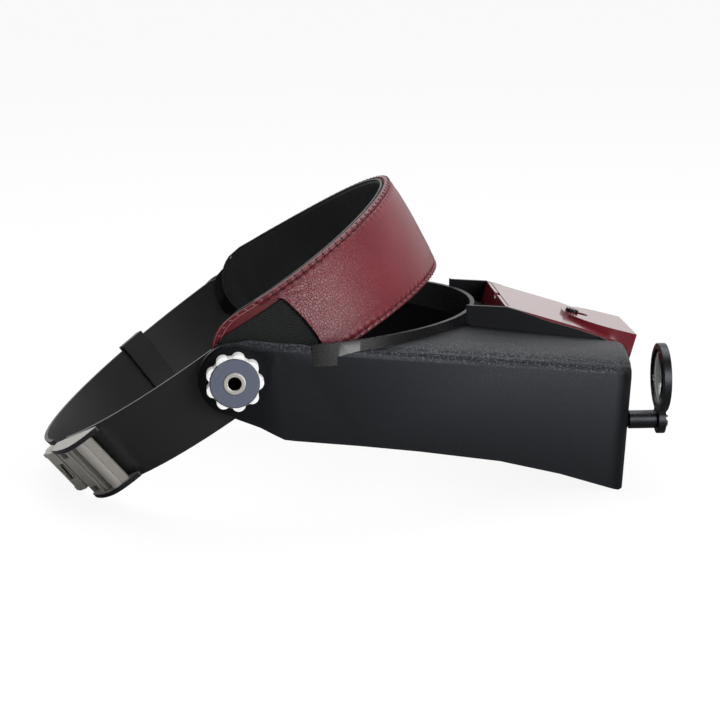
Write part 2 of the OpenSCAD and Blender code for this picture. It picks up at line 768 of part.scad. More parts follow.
// A round cap along X: flat or curved at the back, spherical at the front
function cap_x(r, curve) = curve - sqrt(curve * curve - r * r);
module cap(r, t, curve, back_curve = 0) {
    steps = 12;
    rotate([0, 90, 0]) rotate_extrude($fn = 96) polygon([
        for (k = [0 : steps]) [r * k / steps, back_curve > 0 ? cap_x(r * k / steps, back_curve) : 0],
        for (k = [steps : -1 : 0]) [r * k / steps, t - cap_x(r * k / steps, curve)]
    ]);
}
module long_lens(w, h, t) {
    intersection() {
        translate([0, -w / 2, -h / 2]) cube([t, w, h]);
        cap(norm([w, h]) / 2 + 1, t, lens_r);
    }
}
module main_lens() {
    color([0.85, 0.9, 0.93, 0.4]) place() at_front(lens_drop)
        translate([-visor_t - fit - lens_t, 0, 0]) long_lens(lens_w, lens_h, lens_t);
}
screw_r = 0.9;
screw_head_r = 1.7;
module lens_screw_places() {
    at_front(lens_drop) for (y = [-1, 1], z = [-1, 1])
        translate([0, y * (lens_w / 2 + retainer_lip * 0.55), z * (lens_h / 2 - 5)]) children();
}
module lens_retainer() {
    back = -visor_t - fit - lens_t;
    color("#202022") place() difference() {
        at_front(lens_drop) difference() {
            box(back - retainer_t, -visor_t - fit, lens_w / 2 + retainer_lip,
                -lens_h / 2 - retainer_lip, lens_h / 2 + retainer_lip);
            box(back, 0, lens_w / 2 + fit, -lens_h / 2 - fit, lens_h / 2 + fit);
            box(back - 5, 0, lens_w / 2 - lens_ledge, -lens_h / 2 + lens_ledge, lens_h / 2 - lens_ledge);
        }
        lens_screw_places() along_x(screw_r + fit, back - 5, 0);
    }
}
module lens_screws() {
    head = -visor_t - fit - lens_t - retainer_t;
    color("#8f8f93") place() lens_screw_places() {
        along_x(screw_r, head, -1);
        along_x(screw_head_r, head - 1, head);
    }
}
flip_t = 3;
flip_rim = 2;
module at_flip() {
    place() translate([flip_x, 0, flip_z]) children();
}
module flip_frame() {
    color("#1c1c1e") at_flip() difference() {
        union() {
            box(-flip_h, -2, flip_half, -flip_t / 2, flip_t / 2);
            along_y(flip_t / 2 + 0.8, -flip_bar_half, flip_bar_half);
        }
        box(-flip_h + flip_rim, -4, flip_half - flip_rim, -flip_t / 2 + 0.8, flip_t);
        box(-flip_h + flip_rim + 1, -5, flip_half - flip_rim - 1, -flip_t, flip_t);
        both_sides() along_y(flip_pin_r, flip_bar_half - 6, flip_bar_half + 1);
    }
}
module flip_lens() {
    color([0.85, 0.9, 0.93, 0.4]) at_flip()
        box(-flip_h + flip_rim + fit, -4 - fit, flip_half - flip_rim - fit,
            -flip_t / 2 + 0.8, flip_t / 2 - 0.2);
}
module flip_pins() {
    color("#a8a8ac") at_flip() both_sides()
        along_y(flip_pin_r, flip_bar_half - 6, flip_ear_y + flip_ear_t);
}

// Loupe

stud_r = 1.8;
post_nut_r = 3.3;
post_seat_r = 3.5;
post_seat_t = 1.6;
journal_r = 2.4;
screw_cap_r = 3;
hub_r = 5.8;
wall_front = visor_len - (post_drop - 5) * front_slope;
hub_x0 = wall_front + post_l;
hub_w = loupe_w;
loupe_front = hub_x0 + hub_w;
module at_post() {
    place() translate([0, -post_y, -post_drop]) children();
}
module loupe_post() {
    color("#18181a") at_post() difference() {
        union() {
            along_x(post_d / 2, wall_front + 0.3, hub_x0);
            along_x(stud_r, wall_front - visor_t - post_seat_t - 3.4, wall_front + 0.3 + eps);
            along_x(journal_r, hub_x0 - eps, loupe_front + 0.1);
        }
        along_x(1.1, hub_x0 - 3, loupe_front + 2);
    }
}
module post_nut() {
    color("#a8a8ac") at_post() difference() {
        translate([wall_front - visor_t - post_seat_t - fit - 2.6, 0, 0])
            rotate([0, 90, 0]) cylinder(r = post_nut_r, h = 2.6, $fn = 6);
        along_x(stud_r + fit, wall_front - visor_t - 8, wall_front);
    }
}
module loupe_screw() {
    color("#c9c9cc") at_post() {
        along_x(1.05, hub_x0 - 2.5, loupe_front + 0.2);
        along_x(screw_cap_r, loupe_front + 0.15, loupe_front + 1.1);
    }
}
module loupe_frame() {
    ring_r = loupe_od / 2;
    color("#1c1c1e") at_post() difference() {
        union() {
            along_x(hub_r, hub_x0 + 0.1, loupe_front);
            translate([0, 0, loupe_reach]) along_x(ring_r, hub_x0 + 0.1, loupe_front);
            translate([hub_x0 + 0.1, -3, 0]) cube([hub_w - 0.1, 6, loupe_reach - ring_r + 2]);
        }
        along_x(journal_r + run_fit, hub_x0 - 1, loupe_front + 1);
        translate([0, 0, loupe_reach]) {
            along_x(loupe_seat_r, hub_x0 - 1, loupe_front + 1);
            along_x(ring_r - loupe_wall, hub_x0 + 0.1 + loupe_lip, loupe_front + 1);
        }
    }
}
loupe_lens_r = loupe_od / 2 - loupe_wall - 0.05;
loupe_lens_t = loupe_w - 1;
loupe_curve = 90;
loupe_lip = 0.8;
loupe_seat_r = loupe_od / 2 - loupe_wall - loupe_lip;
loupe_lens_x = hub_x0 + 0.1 + loupe_lip + fit / 2 - cap_x(loupe_seat_r, loupe_curve);
module loupe_lens() {
    color([0.85, 0.9, 0.93, 0.4]) at_post() translate([loupe_lens_x, 0, loupe_reach])
        cap(loupe_lens_r, loupe_lens_t, loupe_curve, loupe_curve);
}
module loupe_ring() {
    color("#2a2a2c") at_post() translate([0, 0, loupe_reach]) difference() {
        along_x(loupe_lens_r, loupe_lens_x + loupe_lens_t - cap_x(loupe_lens_r - 1.1, loupe_curve) + fit,
            loupe_front - 0.2);
        along_x(loupe_lens_r - 1.1, hub_x0, loupe_front + 1);
    }
}

// Light cradle and light unit; both are drawn in the light unit's own frame

module light_cradle() {
    color("#1a1a1c") place() difference() {
        at_light() difference() {
            box(-30, light_l - 1, cradle_out, cradle_bottom, 1);
            box(-40, light_l + 5, cradle_in, cradle_floor, 10);
            // The walls' upper edge follows the cover down to the front
            across(through) polygon([
                [-40, -4.8], [-15, -3.4], [0, -0.1], [6, -0.2], [18, -1.3], [32, -1.4],
                [42, -2.1], [51, -3.6], [54, -5.2], [light_l, -6.9], [light_l, 20], [-40, 20]
            ]);
            // Snap slits
            both_sides() translate([38.6, cradle_out - 0.6, -20]) cube([2.4, 3, 30]);
            cradle_screw_places() cylinder(r = 1.1, h = 10, center = true);
        }
        linear_extrude(height = 2 * through, center = true) collar_plan(-fit);
    }
}
cradle_screw_x = 0.717 * light_l;
cradle_screw_y = 0.8 * light_half;
module cradle_screw_places() {
    for (y = [-cradle_screw_y, cradle_screw_y]) translate([cradle_screw_x, y, cradle_floor]) children();
}
module cradle_screws() {
    color("#8f8f93") place() at_light() cradle_screw_places() {
        translate([0, 0, -cradle_t - 1]) cylinder(r = 2, h = 1);
        translate([0, 0, -cradle_t - eps]) cylinder(r = 1, h = cradle_t + 3);
    }
}

// Outline of the light unit's top, seen from the side
function cover_side(in) = [
    [in, -light_d + in], [in, -in], [nose_back, -0.6 - in], [47 - in, -1.9 - in],
    [52.4 - in, -3.2 - in], [light_l - in, -6.6], [light_l - in, -light_d + in]
];
nose_step = 0.7;
module cover_bulk(in) {
    across(light_half - in) polygon(cover_side(in));
    // Raised nose with a rounded back
    intersection() {
        across(nose_w / 2 - in) polygon([
            [nose_back - 5, -2], [nose_back - 5, nose_step - in], [nose_tip - in, nose_up - in],
            [nose_tip - in, -light_d + 0.3 + in], [nose_back, -light_d + 0.3 + in]
        ]);
        translate([0, 0, -20]) linear_extrude(height = 40) union() {
            translate([nose_back + nose_w / 2 - 4, -50]) square([60, 100]);
            translate([nose_back + nose_w / 2 - 4, 0]) circle(r = nose_w / 2 - 1.8 * in, $fn = 96);
        }
    }
}
slot_x = 35.4;
slot_w = 6;
slot_l = slot_w + switch_travel + 0.2;
led_x = nose_tip - light_t;
led_y = 9;
led_z = -3.6;
led_r = 2.4;
door_t = 1.6;
door_half = light_half - 3;
base_top = -light_d + 1.2;
cell_x = door_t + 1.4 + cell_d / 2;
cell_y = 0.6 * cell_d;
window_half = nose_w / 2 - 4;
window_h = 6;
module light_cover() {
    ear_w = light_half - door_half - slack - 0.4;
    color("#7a2b35") place() at_light() difference() {
        union() {
            difference() {
                cover_bulk(0);
                cover_bulk(light_t);
                // Open below, where the base closes it
                box(-1, light_l - light_t, light_half - light_t, -light_d - 5, -light_d + light_t + eps);
                box(0, nose_tip - light_t, nose_w / 2 - light_t, -light_d - 5, -light_d + light_t + eps);
                box(-1, door_t + slack, door_half + slack, -light_d - 1, 1);
                translate([slot_x, 0, -5]) linear_extrude(height = 10) slot_plan(slot_l, slot_w);
                translate([nose_tip - 3, -window_half, led_z - window_h / 2])
                    cube([5, 2 * window_half, window_h]);
            }
            // Ears for the door's pins
            both_sides() translate([0, door_half + slack, -light_d]) cube([door_knuckle_x + 1, ear_w, 2.6]);
        }
        both_sides() at_door() along_y(door_pin_r + run_fit, door_half, light_half - light_t + 0.2);
    }
}
module slot_plan(l, w) {
    square([l - w, w], center = true);
    for (x = [-1, 1]) translate([x * (l - w) / 2, 0]) circle(r = w / 2);
}
module light_base() {
    color("#232326") place() at_light() difference() {
        union() {
            box(door_t + 0.5, light_l - light_t - fit, light_half - light_t - fit, -light_d, base_top);
            box(door_t + 0.5, nose_tip - light_t - fit, nose_w / 2 - light_t - fit, -light_d, base_top);
            // Wall between the cells and the board
            box(board_x - 1.6, board_x - 0.4, light_half - light_t - 1, base_top - eps, contact_z - fit);
            // Posts that carry the board
            for (x = [board_x + 2, board_x + 22], y = [-board_half + 2, board_half - 2])
                translate([x, y, base_top - eps]) cylinder(r = 1.6, h = board_z - base_top);
        }
        cradle_screw_places() cylinder(r = 0.95, h = 10, center = true);
    }
}
contact_z = base_top + 2 * fit + cell_t;
board_t = 1;
board_z = contact_z - board_t;
board_x = cell_x + cell_d / 2 + 3;
board_half = 0.567 * light_half;
module circuit_board() {
    color("#1f5a3a") place() at_light()
        box(board_x, led_x - 6.5, board_half, board_z + eps, board_z + board_t);
}
module leds() {
    color("#f2f2e8") place() at_light() for (y = [-led_y, led_y]) translate([0, y, led_z]) {
        along_x(led_r, led_x - 6, led_x - led_r - fit);
        translate([led_x - led_r - fit, 0, 0]) sphere(r = led_r - 0.01);
    }
}
module led_window() {
    color([0.9, 0.93, 0.95, 0.5]) place() at_light()
        translate([nose_tip - light_t, -window_half + fit, led_z - window_h / 2 + fit])
            cube([light_t - 0.2, 2 * window_half - 2 * fit, window_h - 2 * fit]);
}
module coin_cells() {
    color("#c4c6c8") place() at_light() for (y = [-cell_y, cell_y])
        translate([cell_x, y, base_top + fit]) cylinder(r = cell_d / 2, h = cell_t);
}
module battery_contacts() {
    color("#c9a24a") place() at_light() {
        for (y = [-cell_y, cell_y]) {
            translate([cell_x - 4, y - 3, contact_z]) cube([9, 6, 0.4]);
            translate([cell_x + 4, y - 2, contact_z]) cube([6.6, 4, 0.4]);
        }
        translate([cell_x - 3, -cell_y, contact_z + 0.1]) cube([3, 2 * cell_y, 0.3]);
    }
}
door_knuckle_r = 1;
door_knuckle_x = door_knuckle_r;
door_pin_r = 0.55;
module at_door() {
    translate([door_knuckle_x, 0, -light_d + door_knuckle_r + 0.2]) children();
}
module battery_door() {
    color("#74303a") place() at_light() {
        difference() {
            box(0, door_t, door_half, -light_d + door_knuckle_r + 0.2, -0.1);
            // Finger notch
            translate([0, 0, 0.9]) rotate([0, 90, 0]) cylinder(r = 3.2, h = 10, center = true);
        }
        at_door() along_y(door_knuckle_r, -door_half, door_half);
        at_door() both_sides() along_y(door_pin_r, door_half - 1, light_half - light_t - 0.1);
    }
}

// Light switch: a body on the board and a ribbed slider in the cover's slot

switch_x = slot_x - switch_travel / 2;
module switch_body() {
    color("#b4b4b8") place() at_light() difference() {
        translate([slot_x - 6, -3, board_z + board_t + eps]) cube([12, 6, 2.4]);
        translate([switch_x - 1 - slack, -1.2 - slack, board_z + board_t + 1])
            cube([2 + switch_travel + 2 * slack, 2.4 + 2 * slack, 5]);
    }
}
module switch_slider() {
    color("#2b2b2e") place() at_light() difference() {
        union() {
            translate([switch_x - 1, -1.2, board_z + board_t + 1.3]) cube([2, 2.4, 3]);
            translate([switch_x, 0, -1.4]) cylinder(r = slot_w / 2 - slack, h = 3.4);
        }
        for (x = [-1.2, 0, 1.2]) translate([switch_x + x - 0.3, -5, 1.5]) cube([0.6, 10, 1]);
    }
}

// Where the tilt axis lies from the middle of the part's length
back_end = tilted([loop_shift - loop_a - strap_out, 0], strap_top, strap_tilt);
back_x = back_end.x * cos(stand_turn) + back_end.z * sin(stand_turn);
front_x = (loupe_front + 1.1) * cos(stand_turn) - (post_drop - screw_cap_r) * sin(stand_turn);
axis_x = -(front_x + back_x) / 2;

brow_cover();
brow_backing();
brow_pad();
elastic_band();
right_strap();
left_strap();
strap_keeper();
buckle_housing();
buckle_clip();
right_pivot_bolt();
left_pivot_bolt();
pivot_washers();
right_knob();
left_knob();
right_knob_disc();
left_knob_disc();
right_knob_nut();
left_knob_nut();
visor_shell();
main_lens();
lens_retainer();
lens_screws();
flip_frame();
flip_lens();
flip_pins();
loupe_post();
post_nut();
loupe_screw();
loupe_frame();
loupe_lens();
loupe_ring();
light_cradle();
cradle_screws();
light_cover();
light_base();
circuit_board();
leds();
led_window();
coin_cells();
battery_contacts();
battery_door();
switch_body();
switch_slider();
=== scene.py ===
# %% [markdown]
# # Headband magnifier
# A padded head loop carries a tilting black visor with lenses and a small battery light.
# The hard parts come ready made as a fixed frame, in metres, and stay where they are.
# What is left for Blender is what the eye reads as material: grain, weave, stitching,
# rounded edges and clear lenses.

# %% Load the frame
import json
import math
import bpy
import numpy as np
from mathutils import Matrix, Vector

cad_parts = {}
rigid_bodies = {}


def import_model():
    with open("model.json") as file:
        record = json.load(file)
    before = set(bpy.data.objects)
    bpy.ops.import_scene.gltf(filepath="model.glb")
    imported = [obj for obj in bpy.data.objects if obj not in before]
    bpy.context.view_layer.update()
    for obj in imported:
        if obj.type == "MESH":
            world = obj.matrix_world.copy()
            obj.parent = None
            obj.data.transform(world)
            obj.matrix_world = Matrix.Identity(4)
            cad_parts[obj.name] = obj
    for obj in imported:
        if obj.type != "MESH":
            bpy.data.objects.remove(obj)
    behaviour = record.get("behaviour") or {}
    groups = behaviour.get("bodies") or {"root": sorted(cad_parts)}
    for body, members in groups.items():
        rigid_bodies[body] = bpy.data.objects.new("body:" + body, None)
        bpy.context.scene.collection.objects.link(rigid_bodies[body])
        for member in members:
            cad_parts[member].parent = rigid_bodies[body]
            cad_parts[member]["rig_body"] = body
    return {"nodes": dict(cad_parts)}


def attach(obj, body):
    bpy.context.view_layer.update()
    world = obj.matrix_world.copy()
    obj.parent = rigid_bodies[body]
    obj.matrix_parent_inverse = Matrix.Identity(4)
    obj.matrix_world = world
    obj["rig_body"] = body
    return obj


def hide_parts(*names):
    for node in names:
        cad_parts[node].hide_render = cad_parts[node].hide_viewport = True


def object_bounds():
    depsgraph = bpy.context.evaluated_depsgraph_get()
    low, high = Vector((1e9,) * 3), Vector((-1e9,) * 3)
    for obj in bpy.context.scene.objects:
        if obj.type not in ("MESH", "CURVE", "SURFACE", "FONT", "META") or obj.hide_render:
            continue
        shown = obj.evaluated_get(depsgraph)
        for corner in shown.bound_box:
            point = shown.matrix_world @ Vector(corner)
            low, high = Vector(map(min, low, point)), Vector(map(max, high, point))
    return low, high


bpy.ops.object.select_all(action="SELECT")
bpy.ops.object.delete()
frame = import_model()
cad_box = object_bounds()
extent = [round(1000 * (b - a), 1) for a, b in zip(*cad_box)]
print("frame:", len(frame["nodes"]), "nodes,", extent, "mm")

# %% [markdown]
# The pieces are drawn about the tilt axis, as the real one is built round its two pivots:
# X forward, Y to the wearer's left, Z up. The whole object leans by less than a degree
# where it rests on its visor rim and its buckle, so one matrix moves each piece into place.
# The lean, in degrees, and the axis repeat what the solid model works out for itself.

# %% The tilt axis
LEAN = 0.912608
AXIS = Vector((-47.4595, 0, 56.4619)) / 1000
to_row = Matrix.Translation(AXIS) @ Matrix.Rotation(math.radians(LEAN), 4, "Y")


def mm(*values):
    """A point or a size given in millimetres."""
    return Vector(values) / 1000


print("tilt axis at", [round(1000 * v, 2) for v in to_row.translation], "mm")

# %% [markdown]
# The camera stands to the wearer's right and a little above, 0.9 metres off, with a long
# lens, as for a shop photograph: sides stay nearly parallel and the far strap shows just
# above the near one. It is aimed before anything else is made.

# %% Camera
DISTANCE = 0.9
aim = mm(53.54, -5.71, -9.21)
away = Vector((-0.0682, -0.9758, 0.2079))
lens = bpy.data.cameras.new("shop_camera")
lens.sensor_width = 36
lens.lens = 107.1
lens.clip_start, lens.clip_end = 0.01, 50
camera = bpy.data.objects.new("shop_camera", lens)
bpy.context.scene.collection.objects.link(camera)
looking = (-away).to_track_quat("-Z", "Y").to_matrix().to_4x4()
camera.matrix_world = to_row @ Matrix.Translation(aim + DISTANCE * away) @ looking
bpy.context.scene.camera = camera
bpy.context.scene.view_settings.view_transform = "Standard"
print("camera at", [round(v, 3) for v in camera.location])

# %% [markdown]
# ## Helpers for materials
# Colours are written as on a paint card, in sRGB hex, and one function turns them linear.
# One function adds a shader node with its settings and links, so each finish below reads
# as a short list of what the surface does. A socket goes by its name, or by its number
# where names repeat: Map Range turns the value at 0 from the range 1 to 2 into the range
# 3 to 4, and Mix blends by 0 between 2 and 3 (numbers), 4 and 5 (vectors) or 6 and 7 (colours).

# %% Colour and shader helpers
def ink(card):
    """The linear colour of an sRGB hex value."""
    parts = [int(card[i:i + 2], 16) / 255 for i in (1, 3, 5)]
    return (*[c / 12.92 if c <= 0.04045 else ((c + 0.055) / 1.055) ** 2.4 for c in parts], 1.0)


def feed(tree, node, links):
    """Links outputs to a node's inputs."""
    for name, output in links.items():
        tree.links.new(output, node.inputs[name])


def add(tree, kind, values=None, links=None, **settings):
    """Adds a node: settings are its own choices, values its sockets' numbers."""
    node = tree.nodes.new(kind)
    for name, value in settings.items():
        setattr(node, name, value)
    for name, value in (values or {}).items():
        node.inputs[name].default_value = value
    feed(tree, node, links or {})
    return node


def finish(name, card, roughness, metallic=0.0, ior=1.5):
    """A new material with one Principled shader: (material, tree, shader)."""
    material = bpy.data.materials.new(name)
    material.use_nodes = True
    tree = material.node_tree
    shader = tree.nodes["Principled BSDF"]
    shader.inputs["Base Color"].default_value = ink(card)
    shader.inputs["Roughness"].default_value = roughness
    shader.inputs["Metallic"].default_value = metallic
    shader.inputs["IOR"].default_value = ior
    material.diffuse_color = ink(card)
    return material, tree, shader


print("burgundy #6e2f37 is", [round(v, 3) for v in ink("#6e2f37")[:3]], "linear")

# %% [markdown]
# ## The studio
# A product shot stands on a white sweep. The floor takes a soft shadow, but reads white
# to the camera: its material is part pale paper, part plain white, for camera rays only.
# In reflections the paper is grey, so that black mouldings stay black near the table.

# %% Floor
PAPER, PAPER_REFLECTED = "#ececec", "#4c4c4c"
WHITE_SHARE, WHITE_LEVEL = 0.88, 1.03
bpy.ops.mesh.primitive_plane_add(size=12, location=(0, 0, 0))
floor = bpy.context.object
floor.name = "studio_floor"
material, tree, shader = finish("white_paper_sweep", PAPER, 0.55)
path = add(tree, "ShaderNodeLightPath")
paper = add(tree, "ShaderNodeMix", {6: ink(PAPER), 7: ink(PAPER_REFLECTED)},
            {0: path.outputs["Is Glossy Ray"]}, data_type="RGBA")
feed(tree, shader, {"Base Color": paper.outputs[2]})
seen = add(tree, "ShaderNodeMath", {1: WHITE_SHARE}, {0: path.outputs["Is Camera Ray"]},
           operation="MULTIPLY")
white = add(tree, "ShaderNodeEmission", {"Color": (1, 1, 1, 1), "Strength": WHITE_LEVEL})
both = add(tree, "ShaderNodeMixShader", None,
           {0: seen.outputs[0], 1: shader.outputs[0], 2: white.outputs[0]})
feed(tree, tree.nodes["Material Output"], {"Surface": both.outputs[0]})
floor.data.materials.append(material)
print("floor", tuple(floor.dimensions))

# %% [markdown]
# The room is white behind the object and dim towards the camera, so black plastic stays
# black on its near side while glossy tops seen at a low angle pick up the white.
# The light that falls on the object is plain: an even, weak fill from the room, a large
# soft box above, a weaker one towards the front and a small one low at the side, which
# gives the leather its sheen.

# %% World and lamps
ROOM_BEHIND, ROOM_NEAR, ROOM_FILL = 1.0, 0.07, 0.3
world = bpy.data.worlds.new("studio_room")
bpy.context.scene.world = world
world.use_nodes = True
tree = world.node_tree
path = add(tree, "ShaderNodeLightPath")
direction = add(tree, "ShaderNodeTexCoord")
split = add(tree, "ShaderNodeSeparateXYZ", None, {0: direction.outputs["Generated"]})
behind = add(tree, "ShaderNodeMapRange", {1: -0.3, 2: 0.45, 3: ROOM_NEAR, 4: ROOM_BEHIND},
             {0: split.outputs[1]})
glossy = add(tree, "ShaderNodeMix", {2: ROOM_FILL},
             {0: path.outputs["Is Glossy Ray"], 3: behind.outputs[0]}, data_type="FLOAT")
seen = add(tree, "ShaderNodeMath", None,
           {0: path.outputs["Is Camera Ray"], 1: path.outputs["Is Transmission Ray"]},
           operation="MAXIMUM")
level = add(tree, "ShaderNodeMix", {3: 1.0}, {0: seen.outputs[0], 2: glossy.outputs[0]},
            data_type="FLOAT")
background = tree.nodes["Background"]
background.inputs["Color"].default_value = (1, 1, 1, 1)
feed(tree, background, {"Strength": level.outputs[0]})


def soft_box(name, place, target, size, power):
    """A square soft box at place, turned to face target; in metres and watts."""
    lamp = bpy.data.lights.new(name, "AREA")
    lamp.shape, lamp.size, lamp.energy = "SQUARE", size, power
    box = bpy.data.objects.new(name, lamp)
    bpy.context.scene.collection.objects.link(box)
    box.location = place
    box.rotation_euler = (Vector(target) - Vector(place)).to_track_quat("-Z", "Y").to_euler()


soft_box("top_soft_box", (0.1, 0.35, 1.3), (0.03, 0, 0.05), 1.1, 13)
soft_box("front_soft_box", (0.8, -1.1, 0.9), (0.03, 0, 0.05), 0.9, 1.8)
soft_box("side_soft_box", (0.42, -0.58, 0.2), (0.02, -0.06, 0.09), 0.4, 3.6)

# %% [markdown]
# ## Hard plastics
# The visor is injection-moulded ABS from a spark-eroded mould: thousands of tiny pits
# leave a matt, pebbled skin that sparkles where light grazes it. A noise at the grit's
# size drives the bump, and a coarser one makes some grains shinier than others. Walls that
# slide along the mould as it opens carry a shallower grain than the roof, so the bump's
# strength follows the surface's own slope, and the rounded edge between them sparkles most.
# The lens frames have a much shallower grain, and the loupe's parts are nearly smooth.

# %% Grained black ABS
def grained_abs(name, card, roughness, grit, depth, level, sparkle=0.0):
    """Spark-eroded moulded plastic; grit is the grain's size and depth its height, in mm.

    level is the specular level of its walls, sparkle how much it varies on its upper faces."""
    material, tree, shader = finish(name, card, roughness, ior=1.53)
    place = add(tree, "ShaderNodeTexCoord")
    at = {"Vector": place.outputs["Object"]}
    grain = add(tree, "ShaderNodeTexNoise",
                {"Scale": 1000 / grit, "Detail": 1, "Roughness": 0.5}, at)
    pits = add(tree, "ShaderNodeTexVoronoi", {"Scale": 1000 / grit}, at, feature="SMOOTH_F1")
    height = add(tree, "ShaderNodeMath", None,
                 {0: grain.outputs[0], 1: pits.outputs["Distance"]}, operation="ADD")
    slope = add(tree, "ShaderNodeSeparateXYZ", None, {0: place.outputs["Normal"]})
    draft = add(tree, "ShaderNodeMapRange", {1: 0.1, 2: 0.5, 3: 0.05, 4: 1.0},
                {0: slope.outputs[2]})
    bump = add(tree, "ShaderNodeBump", {"Distance": depth / 1000},
               {"Height": height.outputs[0], "Strength": draft.outputs[0]})
    fleck = add(tree, "ShaderNodeTexNoise", {"Scale": 500 / grit, "Detail": 0}, at)
    dull, bright, calm = 0.3 - 0.12 * sparkle, 0.3 + 0.6 * sparkle, 0.24
    spark = add(tree, "ShaderNodeMapRange", {1: 0.48, 2: 0.7, 3: dull, 4: bright},
                {0: fleck.outputs[0]})
    crest = add(tree, "ShaderNodeMapRange", {1: 0.8, 2: 0.96, 3: 1.0, 4: 0.35},
                {0: slope.outputs[2]})
    roof = add(tree, "ShaderNodeMix", {2: calm}, {0: crest.outputs[0], 3: spark.outputs[0]},
               data_type="FLOAT")
    gloss = add(tree, "ShaderNodeMix", {2: level}, {0: draft.outputs[0], 3: roof.outputs[0]},
                data_type="FLOAT")
    shine = add(tree, "ShaderNodeMapRange",
                {1: 0.3, 2: 0.7, 3: roughness - 0.05, 4: roughness + 0.06}, {0: grain.outputs[0]})
    # Painted reflection: a faint blue tint on the reflections stands for a cool light in the room.
    shader.inputs["Specular Tint"].default_value = ink("#eef3ff")
    feed(tree, shader, {"Specular IOR Level": gloss.outputs[0], "Normal": bump.outputs[0],
                        "Roughness": shine.outputs[0]})
    return material


visor_abs = grained_abs("ABS_black_spark_eroded_grain", "#111214", 0.38, 0.36, 0.16, 0.13,
                        sparkle=0.65)
frame_abs = grained_abs("ABS_black_fine_matt", "#0e0e0f", 0.4, 0.35, 0.03, 0.15)
loupe_abs = grained_abs("ABS_black_satin", "#0e0e0f", 0.3, 0.35, 0.02, 0.5)
print("grained plastics:", visor_abs.name, frame_abs.name, loupe_abs.name)

# %% [markdown]
# Smooth mouldings keep the mould's polish: the burgundy battery light is bright enough to
# mirror the room, the white knobs are softer, and the buckle is acetal filled with metal
# flakes, which reflect like gunmetal. The strap's keeper is soft satin PVC, and the washers
# are milky nylon. A slow, shallow waviness stands for the sink marks of thick mouldings.

# %% Polished mouldings
POLISH_SCALE = 2600


def moulded(name, card, roughness, wave=9.0, depth=0.02, coat=0.0, metallic=0.0):
    """Smooth moulded plastic with a slow waviness of that length and height, in mm."""
    material, tree, shader = finish(name, card, roughness, metallic)
    place = add(tree, "ShaderNodeTexCoord")
    at = {"Vector": place.outputs["Object"]}
    slow = add(tree, "ShaderNodeTexNoise", {"Scale": 1000 / wave, "Detail": 2}, at)
    fine = add(tree, "ShaderNodeTexNoise", {"Scale": POLISH_SCALE, "Detail": 2}, at)
    bump = add(tree, "ShaderNodeBump", {"Strength": 0.6, "Distance": depth / 1000},
               {"Height": slow.outputs[0]})
    rough = add(tree, "ShaderNodeMapRange", {3: roughness * 0.75, 4: roughness * 1.3},
                {0: fine.outputs[0]})
    shader.inputs["Coat Weight"].default_value = coat
    feed(tree, shader, {"Normal": bump.outputs[0], "Roughness": rough.outputs[0]})
    return material


light_red = moulded("ABS_burgundy_polished", "#6a1f28", 0.16, coat=0.3)
knob_white = moulded("ABS_white_satin", "#f0f0ee", 0.3)
acetal = moulded("acetal_gunmetal_flake_satin", "#aaa6a0", 0.34, metallic=0.3)
# Painted shade: a darker copy of the buckle's acetal, for the rims of its side walls.
buckle_wall_painted_shade = moulded("acetal_polished_painted_shade", "#232326", 0.25)
keeper_pvc = moulded("PVC_black_soft_satin", "#19191b", 0.42)
washer_nylon = moulded("nylon_natural", "#d8d8d2", 0.35)
print("mouldings ready:", light_red.name)

# %% [markdown]
# ## Metals and clear parts
# Screws and pins are nickel-plated steel. The knobs' nuts are plated too, but satin, and the
# outer ends of the pivot bolts get the same satin finish as painted light, brightening them
# in the shade of the nuts' deep holes. The nut behind the visor's front and the rest of the
# bolts are blackened. A cutting tool leaves streaks a quarter of a millimetre apart, which
# make a turned piece's highlight slightly uneven. A metal keeps the default refractive index.

# %% Metals
TOOL_STREAK = 0.25


def metal(name, card, roughness):
    """Turned metal: fine streaks of the cutting tool vary its roughness."""
    material, tree, shader = finish(name, card, roughness, metallic=1.0)
    place = add(tree, "ShaderNodeTexCoord")
    streak = add(tree, "ShaderNodeTexNoise", {"Scale": 1000 / TOOL_STREAK, "Detail": 3},
                 {"Vector": place.outputs["Object"]})
    rough = add(tree, "ShaderNodeMapRange", {3: roughness * 0.7, 4: roughness * 1.4},
                {0: streak.outputs[0]})
    bump = add(tree, "ShaderNodeBump", {"Strength": 0.25, "Distance": 0.00002},
               {"Height": streak.outputs[0]})
    feed(tree, shader, {"Roughness": rough.outputs[0], "Normal": bump.outputs[0]})
    return material


nickel = metal("steel_nickel_plated", "#c9c5bd", 0.2)
nickel_and_painted_light = metal("steel_nickel_satin", "#f0ede6", 0.55)
black_steel = metal("steel_blackened", "#2a2a2c", 0.34)
cell_steel = metal("cell_case_nickel_brushed", "#bfc0c2", 0.26)
contact_brass = metal("spring_brass_tinned", "#b59a58", 0.28)
print("metals:", nickel.name, black_steel.name)

# %% [markdown]
# The disc on each knob is steel under a blue-grey satin lacquer. The lacquer's orange peel
# is far finer than a pixel, so it is drawn at 0.6 mm and only just deep enough to soften
# the highlight. The circuit board has its green solder mask. The lenses are clear cast
# acrylic with the refractive index 1.49; the light's window is polycarbonate with a slight
# haze, and its lamps are clear epoxy.

# %% Lacquered disc, circuit board and clear parts
disc_lacquer = moulded("lacquer_blue_grey_satin", "#5a6070", 0.36, wave=0.6, depth=0.004)
board_green = moulded("circuit_board_solder_mask", "#1c5336", 0.35, wave=3)


